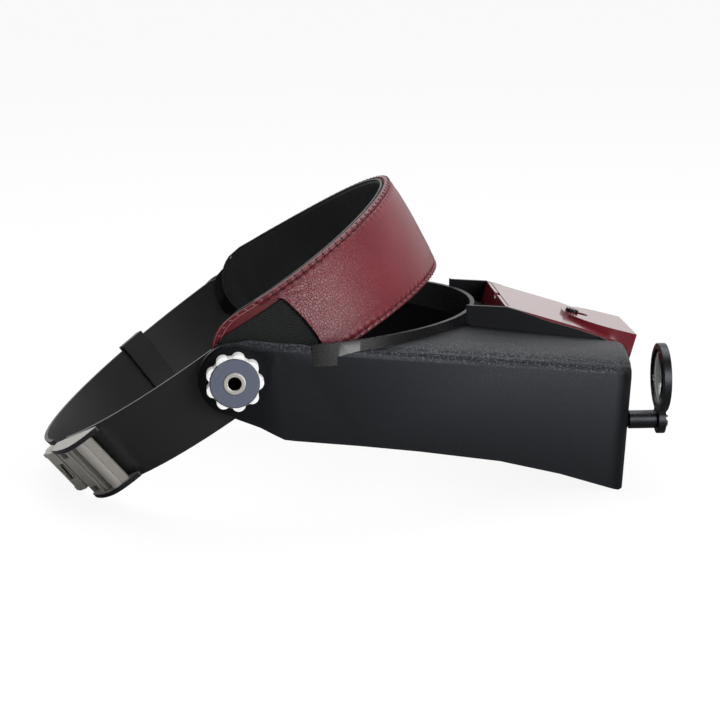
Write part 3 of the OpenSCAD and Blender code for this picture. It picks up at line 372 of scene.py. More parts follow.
def clear(name, card, roughness, ior):
    """A clear plastic that light passes through, with a trace of haze."""
    material, tree, shader = finish(name, card, roughness, ior=ior)
    place = add(tree, "ShaderNodeTexCoord")
    haze = add(tree, "ShaderNodeTexNoise", {"Scale": 160, "Detail": 1},
               {"Vector": place.outputs["Object"]})
    rough = add(tree, "ShaderNodeMapRange", {3: roughness, 4: roughness + 0.03},
                {0: haze.outputs[0]})
    shader.inputs["Transmission Weight"].default_value = 1.0
    feed(tree, shader, {"Roughness": rough.outputs[0]})
    return material


acrylic = clear("acrylic_clear_cast", "#f6fafa", 0.0, 1.49)
window_pc = clear("polycarbonate_clear_window", "#eef3f5", 0.06, 1.58)
led_epoxy = clear("epoxy_clear_lamp", "#f4f4ea", 0.04, 1.55)
print("clear parts:", acrylic.name, window_pc.name, led_epoxy.name)

# %% [markdown]
# ## Leatherette, elastic and foam
# The brow cover is leatherette: a burgundy skin cast on release paper, with fine creased
# cells 1.2 mm wide, pressed over a soft pad. The creases are the borders of Voronoi cells,
# and a noise of about the same size breaks them up. They are deep where the leather is
# gathered, towards the pivots, and faint where it is stretched in front; the first two
# values say where, in metres along X. Their lines are also painted darker in the colour,
# as painted shade, most where the leather is gathered. The tongues, the pad and the piping
# have a finer, shallower grain.

# %% Leatherette
GATHERED_TO, STRETCHED_FROM, STRETCHED_SHARE = -0.02, 0.02, 0.3


def leatherette(name, card, worn, roughness, cell, depth, gloss=0.5):
    """Coated fabric with a creased grain; cell is the grain's size and depth its height, in mm."""
    material, tree, shader = finish(name, card, roughness)
    place = add(tree, "ShaderNodeTexCoord")
    at = {"Vector": place.outputs["Object"]}
    push = add(tree, "ShaderNodeTexNoise", {"Scale": 700 / cell, "Detail": 2}, at)
    bent = add(tree, "ShaderNodeMix", {0: 0.0011 * cell},
               {4: place.outputs["Object"], 5: push.outputs["Color"]}, data_type="VECTOR")
    crease = add(tree, "ShaderNodeTexVoronoi", {"Scale": 1000 / cell},
                 {"Vector": bent.outputs[1]}, feature="DISTANCE_TO_EDGE")
    cut = add(tree, "ShaderNodeMapRange", {1: 0.0, 2: 0.16}, {0: crease.outputs[0]})
    pore = add(tree, "ShaderNodeTexNoise", {"Scale": 2400, "Detail": 3}, at)
    height = add(tree, "ShaderNodeMath", {1: 0.35}, {0: pore.outputs[0], 2: cut.outputs[0]},
                 operation="MULTIPLY_ADD")
    broad = add(tree, "ShaderNodeTexNoise", {"Scale": 45, "Detail": 2}, at)
    tone = add(tree, "ShaderNodeMapRange", {1: 0.35, 2: 0.75}, {0: broad.outputs[0]})
    colour = add(tree, "ShaderNodeMix", {6: ink(card), 7: ink(worn)}, {0: tone.outputs[0]},
                 data_type="RGBA")
    along = add(tree, "ShaderNodeSeparateXYZ", None, {0: place.outputs["Object"]})
    gather = add(tree, "ShaderNodeMapRange",
                 {1: GATHERED_TO, 2: STRETCHED_FROM, 3: 1.0, 4: STRETCHED_SHARE},
                 {0: along.outputs[0]})
    # Painted shade: the crease lines are darkened to 0.55 of the colour, most where the leather is
    # gathered.
    line = add(tree, "ShaderNodeMath", {0: 1.0}, {1: cut.outputs[0]}, operation="SUBTRACT")
    shade = add(tree, "ShaderNodeMath", None, {0: line.outputs[0], 1: gather.outputs[0]},
                operation="MULTIPLY")
    dark = add(tree, "ShaderNodeMix", {7: [0.55 * c for c in ink(card)[:3]] + [1]},
               {0: shade.outputs[0], 6: colour.outputs[2]}, data_type="RGBA")
    force = add(tree, "ShaderNodeMath", {1: 0.6}, {0: gather.outputs[0]}, operation="MULTIPLY")
    bump = add(tree, "ShaderNodeBump", {"Distance": depth / 1000},
               {"Height": height.outputs[0], "Strength": force.outputs[0]})
    rough = add(tree, "ShaderNodeMapRange", {3: roughness - 0.06, 4: roughness + 0.1},
                {0: pore.outputs[0]})
    shader.inputs["Specular IOR Level"].default_value = gloss
    feed(tree, shader, {"Base Color": dark.outputs[2], "Normal": bump.outputs[0],
                        "Roughness": rough.outputs[0]})
    return material


cover_leather = leatherette("leatherette_burgundy_creased", "#681a25", "#72232e", 0.36, 1.2, 0.12)
tongue_leather = leatherette("leatherette_burgundy_smooth", "#5a0c15", "#62101a", 0.5, 0.7, 0.03,
                             gloss=0.25)
pad_leather = leatherette("leatherette_black_pad", "#262628", "#2e2e30", 0.45, 0.9, 0.04)
piping_black = leatherette("leatherette_black_piping", "#29292b", "#303032", 0.42, 0.5, 0.02)
print("leatherette:", cover_leather.name, tongue_leather.name)

# %% [markdown]
# The elastic is woven: covered rubber threads run along it and stand out as cells of about
# 1 mm. Its pattern follows the strip's own flat map in millimetres, which is made with the
# strip, so the weave bends with it. The straps are thick PVC with a slow waviness. The sewing
# threads are polyester; a grain of 0.3 mm, drawn by the leatherette's function, reads as
# twisted yarn. On the tongues the same thread is given a lighter colour, a painted highlight.

# %% Woven elastic, strap plastic and threads
CELL_LONG, CELL_WIDE, CELL_GAP = 1.35, 0.95, 0.26
elastic_weave, tree, shader = finish("elastic_black_woven", "#1d1d1e", 0.78)
flat = add(tree, "ShaderNodeUVMap", uv_map="flat_mm")
fuzz = add(tree, "ShaderNodeTexNoise", {"Scale": 0.9, "Detail": 3}, {"Vector": flat.outputs[0]})
shift = add(tree, "ShaderNodeVectorMath", {3: 0.5}, {0: fuzz.outputs["Color"]}, operation="SCALE")
pulled = add(tree, "ShaderNodeVectorMath", None, {0: flat.outputs[0], 1: shift.outputs[0]},
             operation="ADD")
weave = add(tree, "ShaderNodeTexBrick",
            {"Scale": 1.0, "Mortar Size": CELL_GAP, "Mortar Smooth": 1.0,
             "Brick Width": CELL_LONG, "Row Height": CELL_WIDE},
            {"Vector": pulled.outputs[0]}, offset=0.5)
cells = add(tree, "ShaderNodeMath", {0: 1.0}, {1: weave.outputs["Fac"]}, operation="SUBTRACT")
height = add(tree, "ShaderNodeMath", {1: 0.4}, {0: fuzz.outputs[0], 2: cells.outputs[0]},
             operation="MULTIPLY_ADD")
bump = add(tree, "ShaderNodeBump", {"Strength": 1.0, "Distance": 0.0004},
           {"Height": height.outputs[0]})
# Painted shade: the gaps between the woven cells are coloured nearly black.
tone = add(tree, "ShaderNodeMix", {6: ink("#020303"), 7: ink("#1e2120")}, {0: cells.outputs[0]},
           data_type="RGBA")
shader.inputs["Sheen Weight"].default_value = 0.05
shader.inputs["Specular IOR Level"].default_value = 0.25
feed(tree, shader, {"Base Color": tone.outputs[2], "Normal": bump.outputs[0]})

strap_pvc = moulded("PVC_strap_black_satin", "#252527", 0.4, wave=22, depth=0.12)
thread_dark = leatherette("polyester_thread_dark_burgundy", "#2a0a10", "#341018", 0.55, 0.3, 0.02)
# Painted highlight: the tongues' thread is a lighter copy of the same thread, for the light it
# catches there.
thread_painted_lit = leatherette("polyester_thread_burgundy_painted_highlight", "#94585c", "#9c6266", 0.5, 0.3, 0.02)
print("soft finishes ready:", elastic_weave.name, strap_pvc.name, thread_dark.name)

# %% [markdown]
# ## Rounding the hard parts
# A moulded edge is never knife sharp. Each visible hard part is copied from the frame, its
# loose triangles are merged, and a small bevel is cut along its sharp edges, which gives
# the thin bright lines that edges show in a soft light. A bevel by hand on the frame's own
# mesh isn't possible, as the frame stays untouched. Points closer than four thousandths of a
# millimetre are merged, and triangles that lie flat to 0.4 degrees become one face.

# %% Copy a part and round its edges
MERGE, FLAT, SHARP = 0.000004, math.radians(0.4), math.radians(32)


def pick_only(piece):
    """Only this piece is selected and active."""
    bpy.ops.object.select_all(action="DESELECT")
    piece.select_set(True)
    bpy.context.view_layer.objects.active = piece


def rounded(name, radius, material):
    """A copy of that node with merged, softly rounded edges; radius is in mm."""
    source = frame["nodes"][name]
    piece = bpy.data.objects.new(name + "_rounded", source.data.copy())
    bpy.context.scene.collection.objects.link(piece)
    pick_only(piece)
    bpy.ops.mesh.customdata_custom_splitnormals_clear()
    bpy.ops.object.mode_set(mode="EDIT")
    bpy.ops.mesh.select_all(action="SELECT")
    bpy.ops.mesh.remove_doubles(threshold=MERGE)
    bpy.ops.mesh.dissolve_limited(angle_limit=FLAT)
    bpy.ops.object.mode_set(mode="OBJECT")
    bpy.ops.object.shade_smooth_by_angle(angle=SHARP)
    bevel = piece.modifiers.new("edge", "BEVEL")
    bevel.width, bevel.segments = radius / 1000, 2
    bevel.limit_method, bevel.angle_limit = "ANGLE", SHARP
    bevel.use_clamp_overlap, bevel.harden_normals = True, True
    bevel.miter_outer = "MITER_ARC"
    bpy.ops.object.modifier_apply(modifier=bevel.name)
    piece.data.materials.clear()
    piece.data.materials.append(material)
    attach(piece, source["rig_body"])
    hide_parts(name)
    return piece


print("edges over", round(math.degrees(SHARP)), "degrees are rounded")

# %% [markdown]
# The radius follows the piece: thick grips and shells are rounded by up to half a millimetre,
# small rings and sliders by little more than a tenth, so that no form is lost.

# %% Round the visible hard parts
hard_parts = {
    "visor_shell": (0.45, visor_abs), "light_cradle": (0.3, frame_abs),
    "light_cover": (0.35, light_red), "battery_door": (0.3, light_red),
    "switch_slider": (0.12, frame_abs),
    "lens_retainer": (0.25, frame_abs), "flip_frame": (0.25, frame_abs),
    "loupe_frame": (0.35, loupe_abs), "loupe_ring": (0.15, loupe_abs),
    "loupe_post": (0.25, loupe_abs),
    "buckle_housing": (0.35, acetal), "buckle_clip": (0.3, acetal),
    "strap_keeper": (0.3, keeper_pvc),
    "right_strap": (0.35, strap_pvc), "left_strap": (0.35, strap_pvc),
    "right_knob": (0.5, knob_white), "left_knob": (0.5, knob_white),
    "right_knob_disc": (0.2, disc_lacquer), "left_knob_disc": (0.2, disc_lacquer),
    "right_knob_nut": (0.35, nickel_and_painted_light), "left_knob_nut": (0.35, nickel_and_painted_light),
    "right_pivot_bolt": (0.2, black_steel), "left_pivot_bolt": (0.2, black_steel),
}
for name, (radius, material) in hard_parts.items():
    piece = rounded(name, radius, material)
    print("rounded", name, len(piece.data.polygons), "faces")

# %% [markdown]
# Some parts carry two finishes. The collar round the forehead opening and the rims of the
# two pivot bosses are polished where the visor's other faces are grained. The collar's faces
# are found by their place on its ellipse, of which the next cell gives the centre, the half
# axes, the front part that it covers and the height. The pivot bolts are blackened, and their
# outer ends, deep in the knobs' nuts, get the bright satin finish as painted light against
# the shade there. The rims of the buckle's two side walls are smooth and darker, a painted
# shade for their dim reflection. A second material slot does all this without a cut in any mesh.

# %% Parts with two finishes
COLLAR_X, COLLAR_A, COLLAR_B = 19.7, 82.0, 79.95
COLLAR_FROM, COLLAR_FOOT, COLLAR_TOP, COLLAR_SLOPE, RIM_DEPTH = 29.9, 5, 16.1, 0.05, 1
RING_INNER, RING_OUTER, WALL_TILT = 0.955, 1.012, 0.6
BOSS_FROM, BOSS_INNER, BOSS_OUTER = 81.7, 12.2, 13.2
BRIGHT_FROM = 86.0
STRAP_UP = Vector((-0.588, 0, 0.809))
SIDE_WALL, SIDE_TILT = 2.1, 0.85
collar_abs = moulded("ABS_black_polished", "#0c0c0e", 0.27, wave=14)
shell = bpy.data.objects["visor_shell_rounded"]
shell.data.materials.append(collar_abs)
to_axis = to_row.inverted()
polished = 0
for face in shell.data.polygons:
    place = 1000 * (to_axis @ face.center)
    ring = math.hypot((place.x - COLLAR_X) / COLLAR_A, place.y / COLLAR_B)
    top = COLLAR_TOP - COLLAR_SLOPE * (COLLAR_X + COLLAR_A - place.x)
    wall = place.z > COLLAR_FOOT and abs(face.normal.z) < WALL_TILT
    on_collar = (place.x > COLLAR_FROM and RING_INNER < ring < RING_OUTER
                 and (wall or place.z > top - RIM_DEPTH))
    on_boss = (abs(place.y) > BOSS_FROM
               and BOSS_INNER < math.hypot(place.x, place.z) < BOSS_OUTER)
    if on_collar or on_boss:
        face.material_index = 1
        polished += 1
# Painted light: the bolts' outer ends get the bright satin finish, to lighten them in the shade of
# the nuts' holes.
for side in ("right", "left"):
    bolt = bpy.data.objects[side + "_pivot_bolt_rounded"]
    bolt.data.materials.append(nickel_and_painted_light)
    for face in bolt.data.polygons:
        face.material_index = int(abs(face.center.y) > BRIGHT_FROM / 1000)
# Painted shade: the rims of the housing's side walls take the darker copy of its finish.
housing = bpy.data.objects["buckle_housing_rounded"]
housing.data.materials.append(buckle_wall_painted_shade)
upward = [f for f in housing.data.polygons if f.normal.dot(STRAP_UP) > 0.9]
across = max(upward, key=lambda f: f.area).normal.copy()
level = [v.co.dot(across) for v in housing.data.vertices]
middle, reach = (max(level) + min(level)) / 2, (max(level) - min(level)) / 2 - SIDE_WALL / 1000
for face in housing.data.polygons:
    outside = abs(face.center.dot(across) - middle) > reach
    face.material_index = int(outside and abs(face.normal.dot(across)) < SIDE_TILT)
print("collar and bosses:", polished, "polished faces")

# %% [markdown]
# Parts that are right as they come keep their own mesh and only get their real finish.

# %% Finishes for the remaining parts
plain_parts = {
    "pivot_washers": washer_nylon, "main_lens": acrylic, "flip_lens": acrylic,
    "loupe_lens": acrylic, "lens_screws": nickel, "loupe_screw": nickel,
    "post_nut": black_steel, "flip_pins": nickel, "cradle_screws": nickel,
    "light_base": frame_abs, "circuit_board": board_green, "leds": led_epoxy,
    "led_window": window_pc, "coin_cells": cell_steel, "battery_contacts": contact_brass,
    "switch_body": nickel,
}
for name, material in plain_parts.items():
    mesh = frame["nodes"][name].data
    for i in range(len(mesh.materials)):
        mesh.materials[i] = material
print("finished in place:", len(plain_parts), "parts")

# %% [markdown]
# ## The brow band
# The soft parts are cut as flat strips and sewn up before they go round the head. They are
# made the same way here: each starts as a flat grid with its own map in millimetres, and is
# then laid round the loop, an ellipse in a plane that rises to the front. A Curve modifier
# could bend the strip too, but it can't follow the loop's slope and the band's changing
# height, so the grid's points are moved by one rule. The band's two edges lie a little
# farther apart in front than at the pivots.

# %% The loop and the band's edges
LOOP_A, LOOP_B, LOOP_SHIFT, RISE = 87.5, 76.4, 1.5, math.radians(29.4)
LOW_EDGE, LOW_GROWS, TOP_EDGE, TOP_GROWS = -13.2, -1.8, 21, 5.3


def band_edges(u):
    """Lower and upper edge of the band, at u in front of the tilt axis; all in mm."""
    share = (np.maximum(0, u) / LOOP_A) ** 2
    return LOW_EDGE + LOW_GROWS * share, TOP_EDGE + TOP_GROWS * share


def angle_at(u):
    """The angle round the loop, from its front, of the place u in front of the tilt axis."""
    return np.arccos(np.clip((u - LOOP_SHIFT) / LOOP_A, -1, 1))


def on_band(f, g, off, end, low=0.0, high=0.0):
    """Points round the head: f from -1 to 1 along, g from 0 to 1 up, off outward; all in mm."""
    t = f * angle_at(end(g))
    nu, nv = LOOP_B * np.cos(t), LOOP_A * np.sin(t)
    length = np.hypot(nu, nv)
    middle = LOOP_SHIFT + LOOP_A * np.cos(t)
    bottom, top = band_edges(middle)
    w = bottom + low + g * (top - high - bottom - low)
    u, v = middle + off * nu / length, LOOP_B * np.sin(t) + off * nv / length
    x, z = u * math.cos(RISE) - w * math.sin(RISE), u * math.sin(RISE) + w * math.cos(RISE)
    return np.stack([x, v, z], -1)


def fit_ends(f, near, far):
    """Draws the last third of a strip along the band by those shares at its two ends."""
    return f * (1 + np.where(f < 0, near, far) * np.clip((np.abs(f) - 0.7) / 0.3, 0, 1))


def settle(piece, body, material):
    """Moves a piece from the tilt axis to its place and lets it ride on its body."""
    pick_only(piece)
    bpy.ops.object.transform_apply(location=True, rotation=True, scale=True)
    piece.data.transform(to_row)
    piece.data.materials.clear()
    piece.data.materials.append(material)
    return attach(piece, body)


ends = on_band(np.array([0.0, 1.0]), np.array([0.5, 0.5]), 0.0, lambda g: 35.0 + 0 * g)
print("band front", np.round(ends[0], 1), "and its end", np.round(ends[1], 1))

# %% [markdown]
# One function lays a grid round the band at a given height above the loop, and a second
# one gives it thickness and a rounded rim. The grid is a primitive, so its edges run along
# and across the strip, and its map in millimetres is stretched to the strip's real size.

# %% A strip laid round the band
MEAN_RADIUS, BAND_HEIGHT = 84, 38


def strip(name, along, across, end, face, low=0.0, high=0.0, bunch=0.0, fit=(0.0, 0.0)):
    """A grid laid round the band; face(f, g) is its outer side's distance from the loop, in mm.

    bunch draws the grid's rows towards its two long edges, fit moves its two ends."""
    bpy.ops.object.select_all(action="DESELECT")
    bpy.ops.mesh.primitive_grid_add(x_subdivisions=along, y_subdivisions=across, size=2)
    piece = bpy.context.object
    piece.name = piece.data.name = name
    flat = np.zeros(3 * len(piece.data.vertices))
    piece.data.vertices.foreach_get("co", flat)
    f, g = flat[0::3], (flat[1::3] + 1) / 2
    g = g - bunch * np.sin(2 * np.pi * g) / (2 * np.pi)
    high = high(f) if callable(high) else high
    laid = on_band(fit_ends(f, *fit), g, face(f, g), end, low, high)
    piece.data.vertices.foreach_set("co", (laid / 1000).ravel())
    chart = piece.data.uv_layers[0]
    chart.name = "flat_mm"
    corner = np.zeros(len(piece.data.loops), int)
    piece.data.loops.foreach_get("vertex_index", corner)
    map_x, map_y = f * (MEAN_RADIUS * angle_at(end(g))), BAND_HEIGHT * g
    chart.data.foreach_set("uv", np.stack([map_x[corner], map_y[corner]], -1).ravel())
    piece.data.update()
    return piece


def face_outward(piece):
    """Turns a strip's faces away from the head."""
    if np.mean([p.normal.dot(p.center) > 0 for p in piece.data.polygons]) < 0.5:
        piece.data.flip_normals()


def thicken(piece, thickness, edge):
    """Gives a strip its thickness inward and rounds its rim; both in mm."""
    pick_only(piece)
    bpy.ops.object.mode_set(mode="EDIT")
    bpy.ops.mesh.select_all(action="SELECT")
    bpy.ops.mesh.normals_make_consistent(inside=False)
    bpy.ops.object.mode_set(mode="OBJECT")
    face_outward(piece)
    wall = piece.modifiers.new("thickness", "SOLIDIFY")
    wall.thickness, wall.offset, wall.use_even_offset = thickness / 1000, -1, False
    bpy.ops.object.modifier_apply(modifier=wall.name)
    rim = piece.modifiers.new("rim", "BEVEL")
    rim.width, rim.segments = edge / 1000, 2
    rim.limit_method, rim.angle_limit = "ANGLE", math.radians(50)
    bpy.ops.object.modifier_apply(modifier=rim.name)
    bpy.ops.object.shade_smooth()
    return piece


print("strips are laid outward from an ellipse of", 2 * LOOP_A, "x", 2 * LOOP_B, "mm")

# %% [markdown]
# The sleeve is one burgundy panel, pressed into a soft crown, with a ladder of stitches
# along both edges. It ends ahead of the pivots in an open mouth, where the elastic comes
# out; only its top hem runs on to meet the tongue, over a small arch. The leather is
# gathered at that corner, so fine folds fan out from it, and it puckers between stitches.
# All this is a height field over the flat strip: each line of the function below is one
# of these forms, in millimetres.

# %% Shape of the sleeve
PITCH = 3.7


def mouth(g):
    """Where the sleeve ends, in mm ahead of the tilt axis; its top hem runs on to the tongue."""
    low, top = band_edges(np.array(30.0))
    w = low + g * (top - low)
    bow = 0.0064 * (w + 9) ** 2
    arch = 2.6 * (1 - np.sqrt(1 - np.clip((g - 0.835) / 0.07, 0, 0.999) ** 2))
    tail = np.clip((g - 0.905) / 0.03, 0, 1)
    return 35.1 - bow - arch - 5.0 * tail * tail * (3 - 2 * tail)


def from_edge(g, u):
    """Distance of g from the nearer edge of the band, in mm."""
    low, top = band_edges(u)
    return np.minimum(g, 1 - g) * (top - low)


def sleeve_face(f, g):
    """Height of the sleeve's outer side: rolled edge, hem, sewn groove, crown and gathers."""
    reach = angle_at(mouth(g))
    u = LOOP_SHIFT + LOOP_A * np.cos(f * reach)
    low, top = band_edges(u)
    w, d = low + g * (top - low), from_edge(g, u)
    hem = np.interp(d, [0, 0.15, 0.35, 0.7, 1.5, 1.95, 2.5, 3.4],
                    [-1.1, -0.2, 0.45, 0.8, 0.8, 0.3, 0.84, 1.0])
    crown = 0.75 * np.clip(1 - (2 * g - 1) ** 2, 0, 1) ** 0.8 * np.clip((d - 2.4) / 5, 0, 1)
    along = MEAN_RADIUS * f * reach
    pucker = 0.24 * np.cos(2 * np.pi * along / PITCH) * np.exp(-((d - 1.9) / 1.6) ** 2)
    pull_u, pull_w = u - 28.0, w - 19.5
    far, turn = np.hypot(pull_u, pull_w), np.arctan2(pull_w, pull_u)
    fan = 0.2 * np.sin(21 * turn + 1.3 * np.sin(0.35 * far))
    folds = fan * np.exp(-far / 13) * np.clip((far - 2) / 5, 0, 1)
    creases = 0.1 * np.sin(0.9 * along + 0.7 * np.sin(0.5 * w))
    folds = folds + creases * np.exp(-np.abs(u - 33) / 5) * (w < 15)
    slow = 0.16 * np.sin(0.055 * along + 0.09 * w) * np.sin(0.11 * w + 0.8)
    tail = np.clip((29 - u) / 7, 0, 1) * (g > 0.9)
    return 0.3 + hem + crown + pucker + folds * (d > 2.2) + slow * (d > 2.2) - 1.15 * tail


sleeve = strip("brow_sleeve", 380, 72, mouth, sleeve_face, bunch=0.75)
sleeve = thicken(sleeve, thickness=0.5, edge=0.1)
settle(sleeve, "headband", cover_leather)
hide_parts("brow_cover")
print("sleeve:", len(sleeve.data.polygons), "faces")

# %% [markdown]
# Behind the sleeve lies a second strip of leather. Its rounded ends are the two tongues that
# show above the elastic at the pivots. Its face is smoother, because it is stretched flat,
# and darker in colour. A hole lets the pivot bolt through, cut with a short round bar.

# %% Tongues
BOLT_HOLE = 2.6
TONGUE_FIT, PAD_FIT = (0.011, -0.05), (0.0, -0.03)


def round_end(g, reach):
    """Pulls the corners of a strip's end back, so that it ends in half an ellipse."""
    return reach * (1 - np.sqrt(np.clip(1 - (2 * g - 1) ** 2, 0, 1)))


def tongue_end(g):
    """Where the tongue ends, in mm ahead of the tilt axis."""
    return -4.2 + round_end(g, 17)


def tongue_face(f, g):
    """The tongue's face: a flat hem, a sewn groove and a slightly raised middle."""
    d = from_edge(g, 0 * g)
    return -0.9 + np.interp(d, [0, 0.3, 1.5, 1.9, 2.4, 4], [-0.25, 0, 0, -0.12, 0.02, 0.05])


def pierce(piece):
    """Cuts the round hole for the bolts along the tilt axis, through both ends of a piece."""
    bpy.ops.object.select_all(action="DESELECT")
    bpy.ops.mesh.primitive_cylinder_add(vertices=48, radius=BOLT_HOLE / 1000, depth=0.3,
                                        rotation=(math.pi / 2, 0, 0))
    bar = bpy.context.object
    pick_only(piece)
    cut = piece.modifiers.new("bolt_hole", "BOOLEAN")
    cut.object, cut.operation, cut.solver = bar, "DIFFERENCE", "EXACT"
    bpy.ops.object.modifier_apply(modifier=cut.name)
    bpy.data.objects.remove(bar)
    return piece


tongue = strip("brow_tongues", 260, 36, tongue_end, tongue_face, 0.4, 0.4, bunch=0.7,
               fit=TONGUE_FIT)
tongue = thicken(tongue, thickness=0.75, edge=0.15)
settle(pierce(tongue), "headband", tongue_leather)
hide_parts("brow_backing")
print("tongues:", len(tongue.data.polygons), "faces")

# %% [markdown]
# Between tongue and sleeve runs a wide woven elastic that lets the loop stretch. It is a
# plain strip, but for its top edge, which bulges a little where the sleeve's mouth arches
# over it. What shows of it is its weave, so its map in millimetres matters most.

# %% Elastic
BULGE, BULGE_AT, BULGE_HALF = 1.9, 0.748, 0.028


def elastic_end(g):
    """Where the elastic ends, in mm ahead of the tilt axis."""
    return -4 + round_end(g, 9)


def elastic_high(f):
    """How far the elastic's top edge lies below the band's, in mm, with its two bulges."""
    side = (np.abs(f) - BULGE_AT) / BULGE_HALF
    return 5.2 - BULGE * np.sqrt(np.clip(1 - side ** 2, 0, 1))


elastic = strip("brow_elastic", 300, 20, elastic_end, lambda f, g: 0.2 + 0 * f, 1.2, elastic_high)
elastic = thicken(elastic, thickness=0.9, edge=0.2)
settle(pierce(elastic), "headband", elastic_weave)
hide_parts("elastic_band")
print("elastic:", len(elastic.data.polygons), "faces")

# %% [markdown]
# ## The brow pad
# A thin foam pad lines the band where it rests on the forehead. Foam that is sewn in along
# its rim swells between its seams, which a cloth simulation does by itself: the pad's back
# and rim are pinned, and a gentle pressure blows its face up. How far a point may move is
# capped, because the foam is only a few millimetres thick.

# %% Foam pad
PRESSURE, MOST_SWELL = 4.0, 1.6
FOAM, PAD_OFF = 1.3, -1.9
COLUMNS, ROWS = 151, 21


def pad_end(g):
    """Where the pad ends, in mm ahead of the tilt axis."""
    return -3.2 + round_end(g, 17)


def swell(piece, pinned):
    """Blows a pad up with Blender's cloth; returns how far it moved at most, in mm."""
    start = np.array([v.co[:] for v in piece.data.vertices])
    group = piece.vertex_groups.new(name="sewn")
    group.add([int(i) for i in np.flatnonzero(pinned)], 1.0, "REPLACE")
    pick_only(piece)
    cloth = piece.modifiers.new("swell", "CLOTH")
    cloth.settings.vertex_group_mass = "sewn"
    cloth.settings.use_pressure = True
    cloth.settings.uniform_pressure_force = PRESSURE
    cloth.settings.effector_weights.gravity = 0
    cloth.settings.quality = 6
    for i in range(1, 21):
        bpy.context.scene.frame_set(i)
    bpy.ops.object.modifier_apply(modifier=cloth.name)
    bpy.context.scene.frame_set(1)
    move = np.array([v.co[:] for v in piece.data.vertices]) - start
    far = np.linalg.norm(move, axis=1, keepdims=True)
    move *= np.minimum(1, MOST_SWELL / 1000 / np.maximum(far, 1e-9))
    piece.data.vertices.foreach_set("co", (start + move).ravel())
    piece.data.update()
    return float(1000 * np.minimum(far, MOST_SWELL / 1000).max())


pad = strip("brow_foam_pad", COLUMNS - 1, ROWS - 1, pad_end, lambda f, g: PAD_OFF + 0 * f,
            0.6, 0.6, fit=PAD_FIT)
face_outward(pad)
pick_only(pad)
slab = pad.modifiers.new("foam", "SOLIDIFY")
slab.thickness, slab.offset = FOAM / 1000, -1
bpy.ops.object.modifier_apply(modifier=slab.name)
number = np.arange(len(pad.data.vertices)) % (COLUMNS * ROWS)
row, column = number // COLUMNS, number % COLUMNS
rim = (row == 0) | (row == ROWS - 1) | (column == 0) | (column == COLUMNS - 1)
back = np.arange(len(number)) < COLUMNS * ROWS
print("pad swells by", round(swell(pad, back | rim), 2), "mm")
finer = pad.modifiers.new("finer", "SUBSURF")
finer.levels = finer.render_levels = 1
bpy.ops.object.modifier_apply(modifier=finer.name)
settle(pad, "headband", pad_leather)
bpy.ops.object.shade_smooth()
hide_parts("brow_pad")
print("pad:", len(pad.data.polygons), "faces")

# %% [markdown]
# The pad's rim is piped: a thin cord wrapped in leatherette is sewn round it. It is a round
# bar swept along the rim, drawn as a closed curve and then turned into a mesh.

# %% Piping
PIPING_RADIUS, PIPING_INSET, PIPING_OFF = 0.5, 0.35, -2.5
LONG, SHORT = 220, 26


def swept(name, path, radius, closed, turns):
    """A round bar of that radius along a path, both in mm."""
    curve = bpy.data.curves.new(name, "CURVE")
    curve.dimensions, curve.bevel_depth, curve.bevel_resolution = "3D", radius / 1000, turns
    curve.use_fill_caps = not closed
    spline = curve.splines.new("POLY")
    spline.points.add(len(path) - 1)
    spline.points.foreach_set("co", np.hstack([path / 1000, np.ones((len(path), 1))]).ravel())
    spline.use_cyclic_u = closed
    piece = bpy.data.objects.new(name, curve)
    bpy.context.scene.collection.objects.link(piece)
    pick_only(piece)
    bpy.ops.object.convert(target="MESH")
    bpy.ops.object.shade_smooth()
    return bpy.context.object


forth, up = np.linspace(-1, 1, LONG), np.linspace(0, 1, SHORT + 2)[1:-1]
round_f = np.concatenate([forth, np.ones(SHORT), forth[::-1], -np.ones(SHORT)])
round_g = np.concatenate([np.zeros(LONG), up, np.ones(LONG), up[::-1]])
rim_line = on_band(fit_ends(round_f, *PAD_FIT), round_g, PIPING_OFF, pad_end,
                   PIPING_INSET, PIPING_INSET)
piping = swept("pad_piping", rim_line, PIPING_RADIUS, True, 3)
settle(piping, "headband", piping_black)
print("piping:", len(piping.data.polygons), "faces")

# %% [markdown]
# ## Stitching
# The sleeve's edges are overcast: a seam runs 2 mm inside the edge, and a short stitch
# crosses the hem every 3.7 mm, so the seam looks like a ladder. One stitch is modelled, as
# a short bar with rounded ends, and copied along the edge; the copies are then joined.

# %% One stitch and a way to sew it along an edge
STITCH_RADIUS, STITCH_LENGTH, STITCH_TIP = 0.36, 2.0, 0.18
bpy.ops.object.select_all(action="DESELECT")
bpy.ops.mesh.primitive_cylinder_add(vertices=8, radius=STITCH_RADIUS / 1000,
                                    depth=STITCH_LENGTH / 1000)
stitch = bpy.context.object
stitch.name = "stitch_master"
tips = stitch.modifiers.new("tips", "BEVEL")
tips.width, tips.segments = STITCH_TIP / 1000, 2
tips.limit_method, tips.angle_limit = "ANGLE", math.radians(60)
bpy.ops.object.modifier_apply(modifier=tips.name)
bpy.ops.object.shade_smooth()


def sew(name, outer, inner, material, size=1.0):
    """Copies the stitch across a hem, from each outer point to the inner one beside it.

    size scales the stitch's thickness and length."""
    made = []
    for point, forward, over in zip(outer, np.gradient(outer, axis=0), inner):
        z = Vector(over - point).normalized()
        x = Vector(forward).cross(z).normalized()
        turn = Matrix((x, z.cross(x), z)).transposed().to_4x4()
        middle = Matrix.Translation(Vector((point + over) / 2) / 1000)
        copy = stitch.copy()
        copy.data = stitch.data.copy()
        copy.matrix_world = middle @ turn @ Matrix.Scale(size, 4)
        bpy.context.scene.collection.objects.link(copy)
        made.append(copy)
    pick_only(made[0])
    for copy in made:
        copy.select_set(True)
    bpy.ops.object.join()
    piece = bpy.context.object
    piece.name = piece.data.name = name
    return settle(piece, "headband", material)


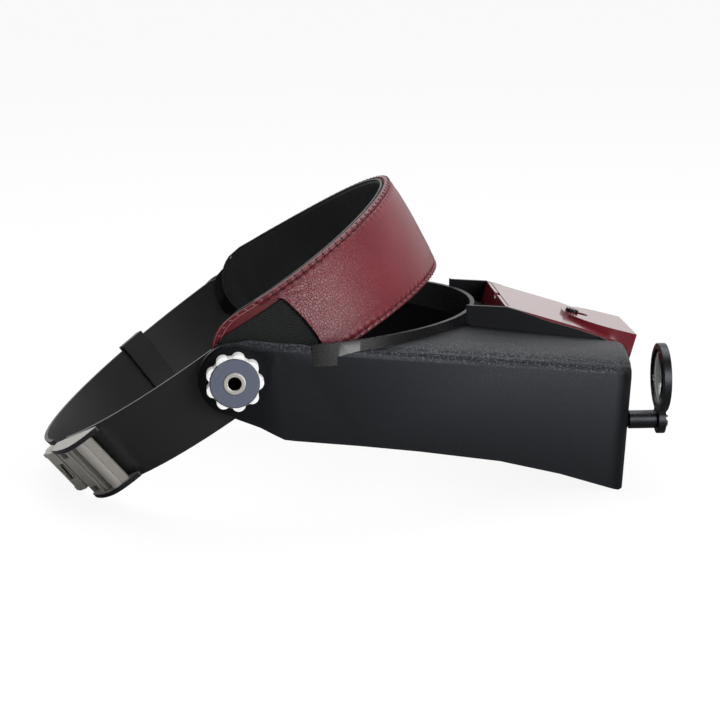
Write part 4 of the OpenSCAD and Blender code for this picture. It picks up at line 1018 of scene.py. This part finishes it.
print("one stitch has", len(stitch.data.polygons), "faces")

# %% [markdown]
# The stitches lie in the hollows between the sleeve's puckers, half a pitch from each crest,
# because it is the pull of each stitch that makes the hollow. They stand a little above the
# leather, as thick thread does, and the seam lies in its groove.

# %% Sew the sleeve's two edges
HEM_OUTER, HEM_INNER, SEAM_INSET = 0.3, 1.95, 2.0
SEAM_RADIUS, STITCH_LIFT, SEAM_LIFT = 0.16, 0.3, 0.02


def edge_line(f, g0, inset, lift):
    """Points on the sleeve at the shares f, inset mm from its edge at g0 and lift mm above it."""
    g = np.full(len(f), float(g0))
    for _ in range(3):
        bottom, top = band_edges(LOOP_SHIFT + LOOP_A * np.cos(f * angle_at(mouth(g))))
        g = np.where(g0 < 0.5, inset / (top - bottom), 1 - inset / (top - bottom))
    return on_band(f, g, sleeve_face(f, g) + lift, mouth)


for where, g0 in (("lower", 0.0), ("upper", 1.0)):
    half = MEAN_RADIUS * angle_at(mouth(np.array(abs(g0 - 0.04))))
    hollows = int(0.985 * half / PITCH - 0.5)
    f_holes = (np.arange(-hollows - 1, hollows + 1) + 0.5) * PITCH / half
    outer = edge_line(f_holes, g0, HEM_OUTER, STITCH_LIFT)
    inner = edge_line(f_holes, g0, HEM_INNER, STITCH_LIFT)
    ladder = sew("sleeve_stitches_" + where, outer, inner, thread_dark)
    seam = edge_line(np.linspace(-0.99, 0.99, 400), g0, SEAM_INSET, SEAM_LIFT)
    seam = swept("sleeve_seam_" + where, seam, SEAM_RADIUS, False, 2)
    settle(seam, "headband", thread_dark)
    print(where, "edge:", len(ladder.data.polygons), "faces of stitches")

# %% [markdown]
# Each tongue is sewn the same way, along its top edge and round its end to just above the
# bolt, with a thinner thread: one line beside the rim, one 1.75 mm inside it, and a short
# stitch from line to line every 3.7 mm.

# %% Sew the tongues
TONGUE_HEM, TONGUE_SEAM, TONGUE_OFF = 0.35, 1.75, -0.75
RIM_THREAD, SEAM_THREAD, THIN = 0.15, 0.17, 0.6


def along_path(path, step):
    """Points every step mm along a path."""
    steps = np.linalg.norm(np.diff(path, axis=0), axis=1)
    length = np.concatenate([[0], np.cumsum(steps)])
    count = max(1, int(round(length[-1] / step)))
    at = (np.arange(count) + 0.5) * length[-1] / count
    return np.stack([np.interp(at, length, path[:, k]) for k in range(3)], -1)


def inside_end(g):
    """The line on which the tongue's end is sewn, in mm ahead of the tilt axis."""
    return tongue_end(g) + 0.3


for side, side_name in ((-1, "right"), (1, "left")):
    g = np.concatenate([np.full(60, 1.0), np.linspace(1, 0.45, 60)])
    f = side * np.concatenate([np.linspace(0.78, 0.995, 60), np.full(60, 0.995)])
    f = fit_ends(f, *TONGUE_FIT)
    outer = on_band(f, g, TONGUE_OFF, inside_end, TONGUE_HEM, TONGUE_HEM)
    inner = on_band(f * 0.985, g, TONGUE_OFF, inside_end, TONGUE_SEAM, TONGUE_SEAM)
    for part, line, radius in (("seam", inner, SEAM_THREAD), ("edge", outer, RIM_THREAD)):
        thread = swept("tongue_" + part + "_" + side_name, line, radius, False, 2)
        settle(thread, "headband", thread_painted_lit)
    ladder = sew("tongue_stitches_" + side_name, along_path(outer, PITCH),
                 along_path(inner, PITCH), thread_painted_lit, size=THIN)
    print(side_name, "tongue:", len(ladder.data.polygons), "faces of stitches")
bpy.data.objects.remove(stitch)

# %% [markdown]
# ## Measure and finish
# The dressed object is meant to fill the same box as the plain one; the plain frame's box,
# measured before anything was added, is printed here.

# %% Sizes
bpy.context.view_layer.update()
print("CAD box", [round(1000 * v, 2) for c in cad_box for v in c])
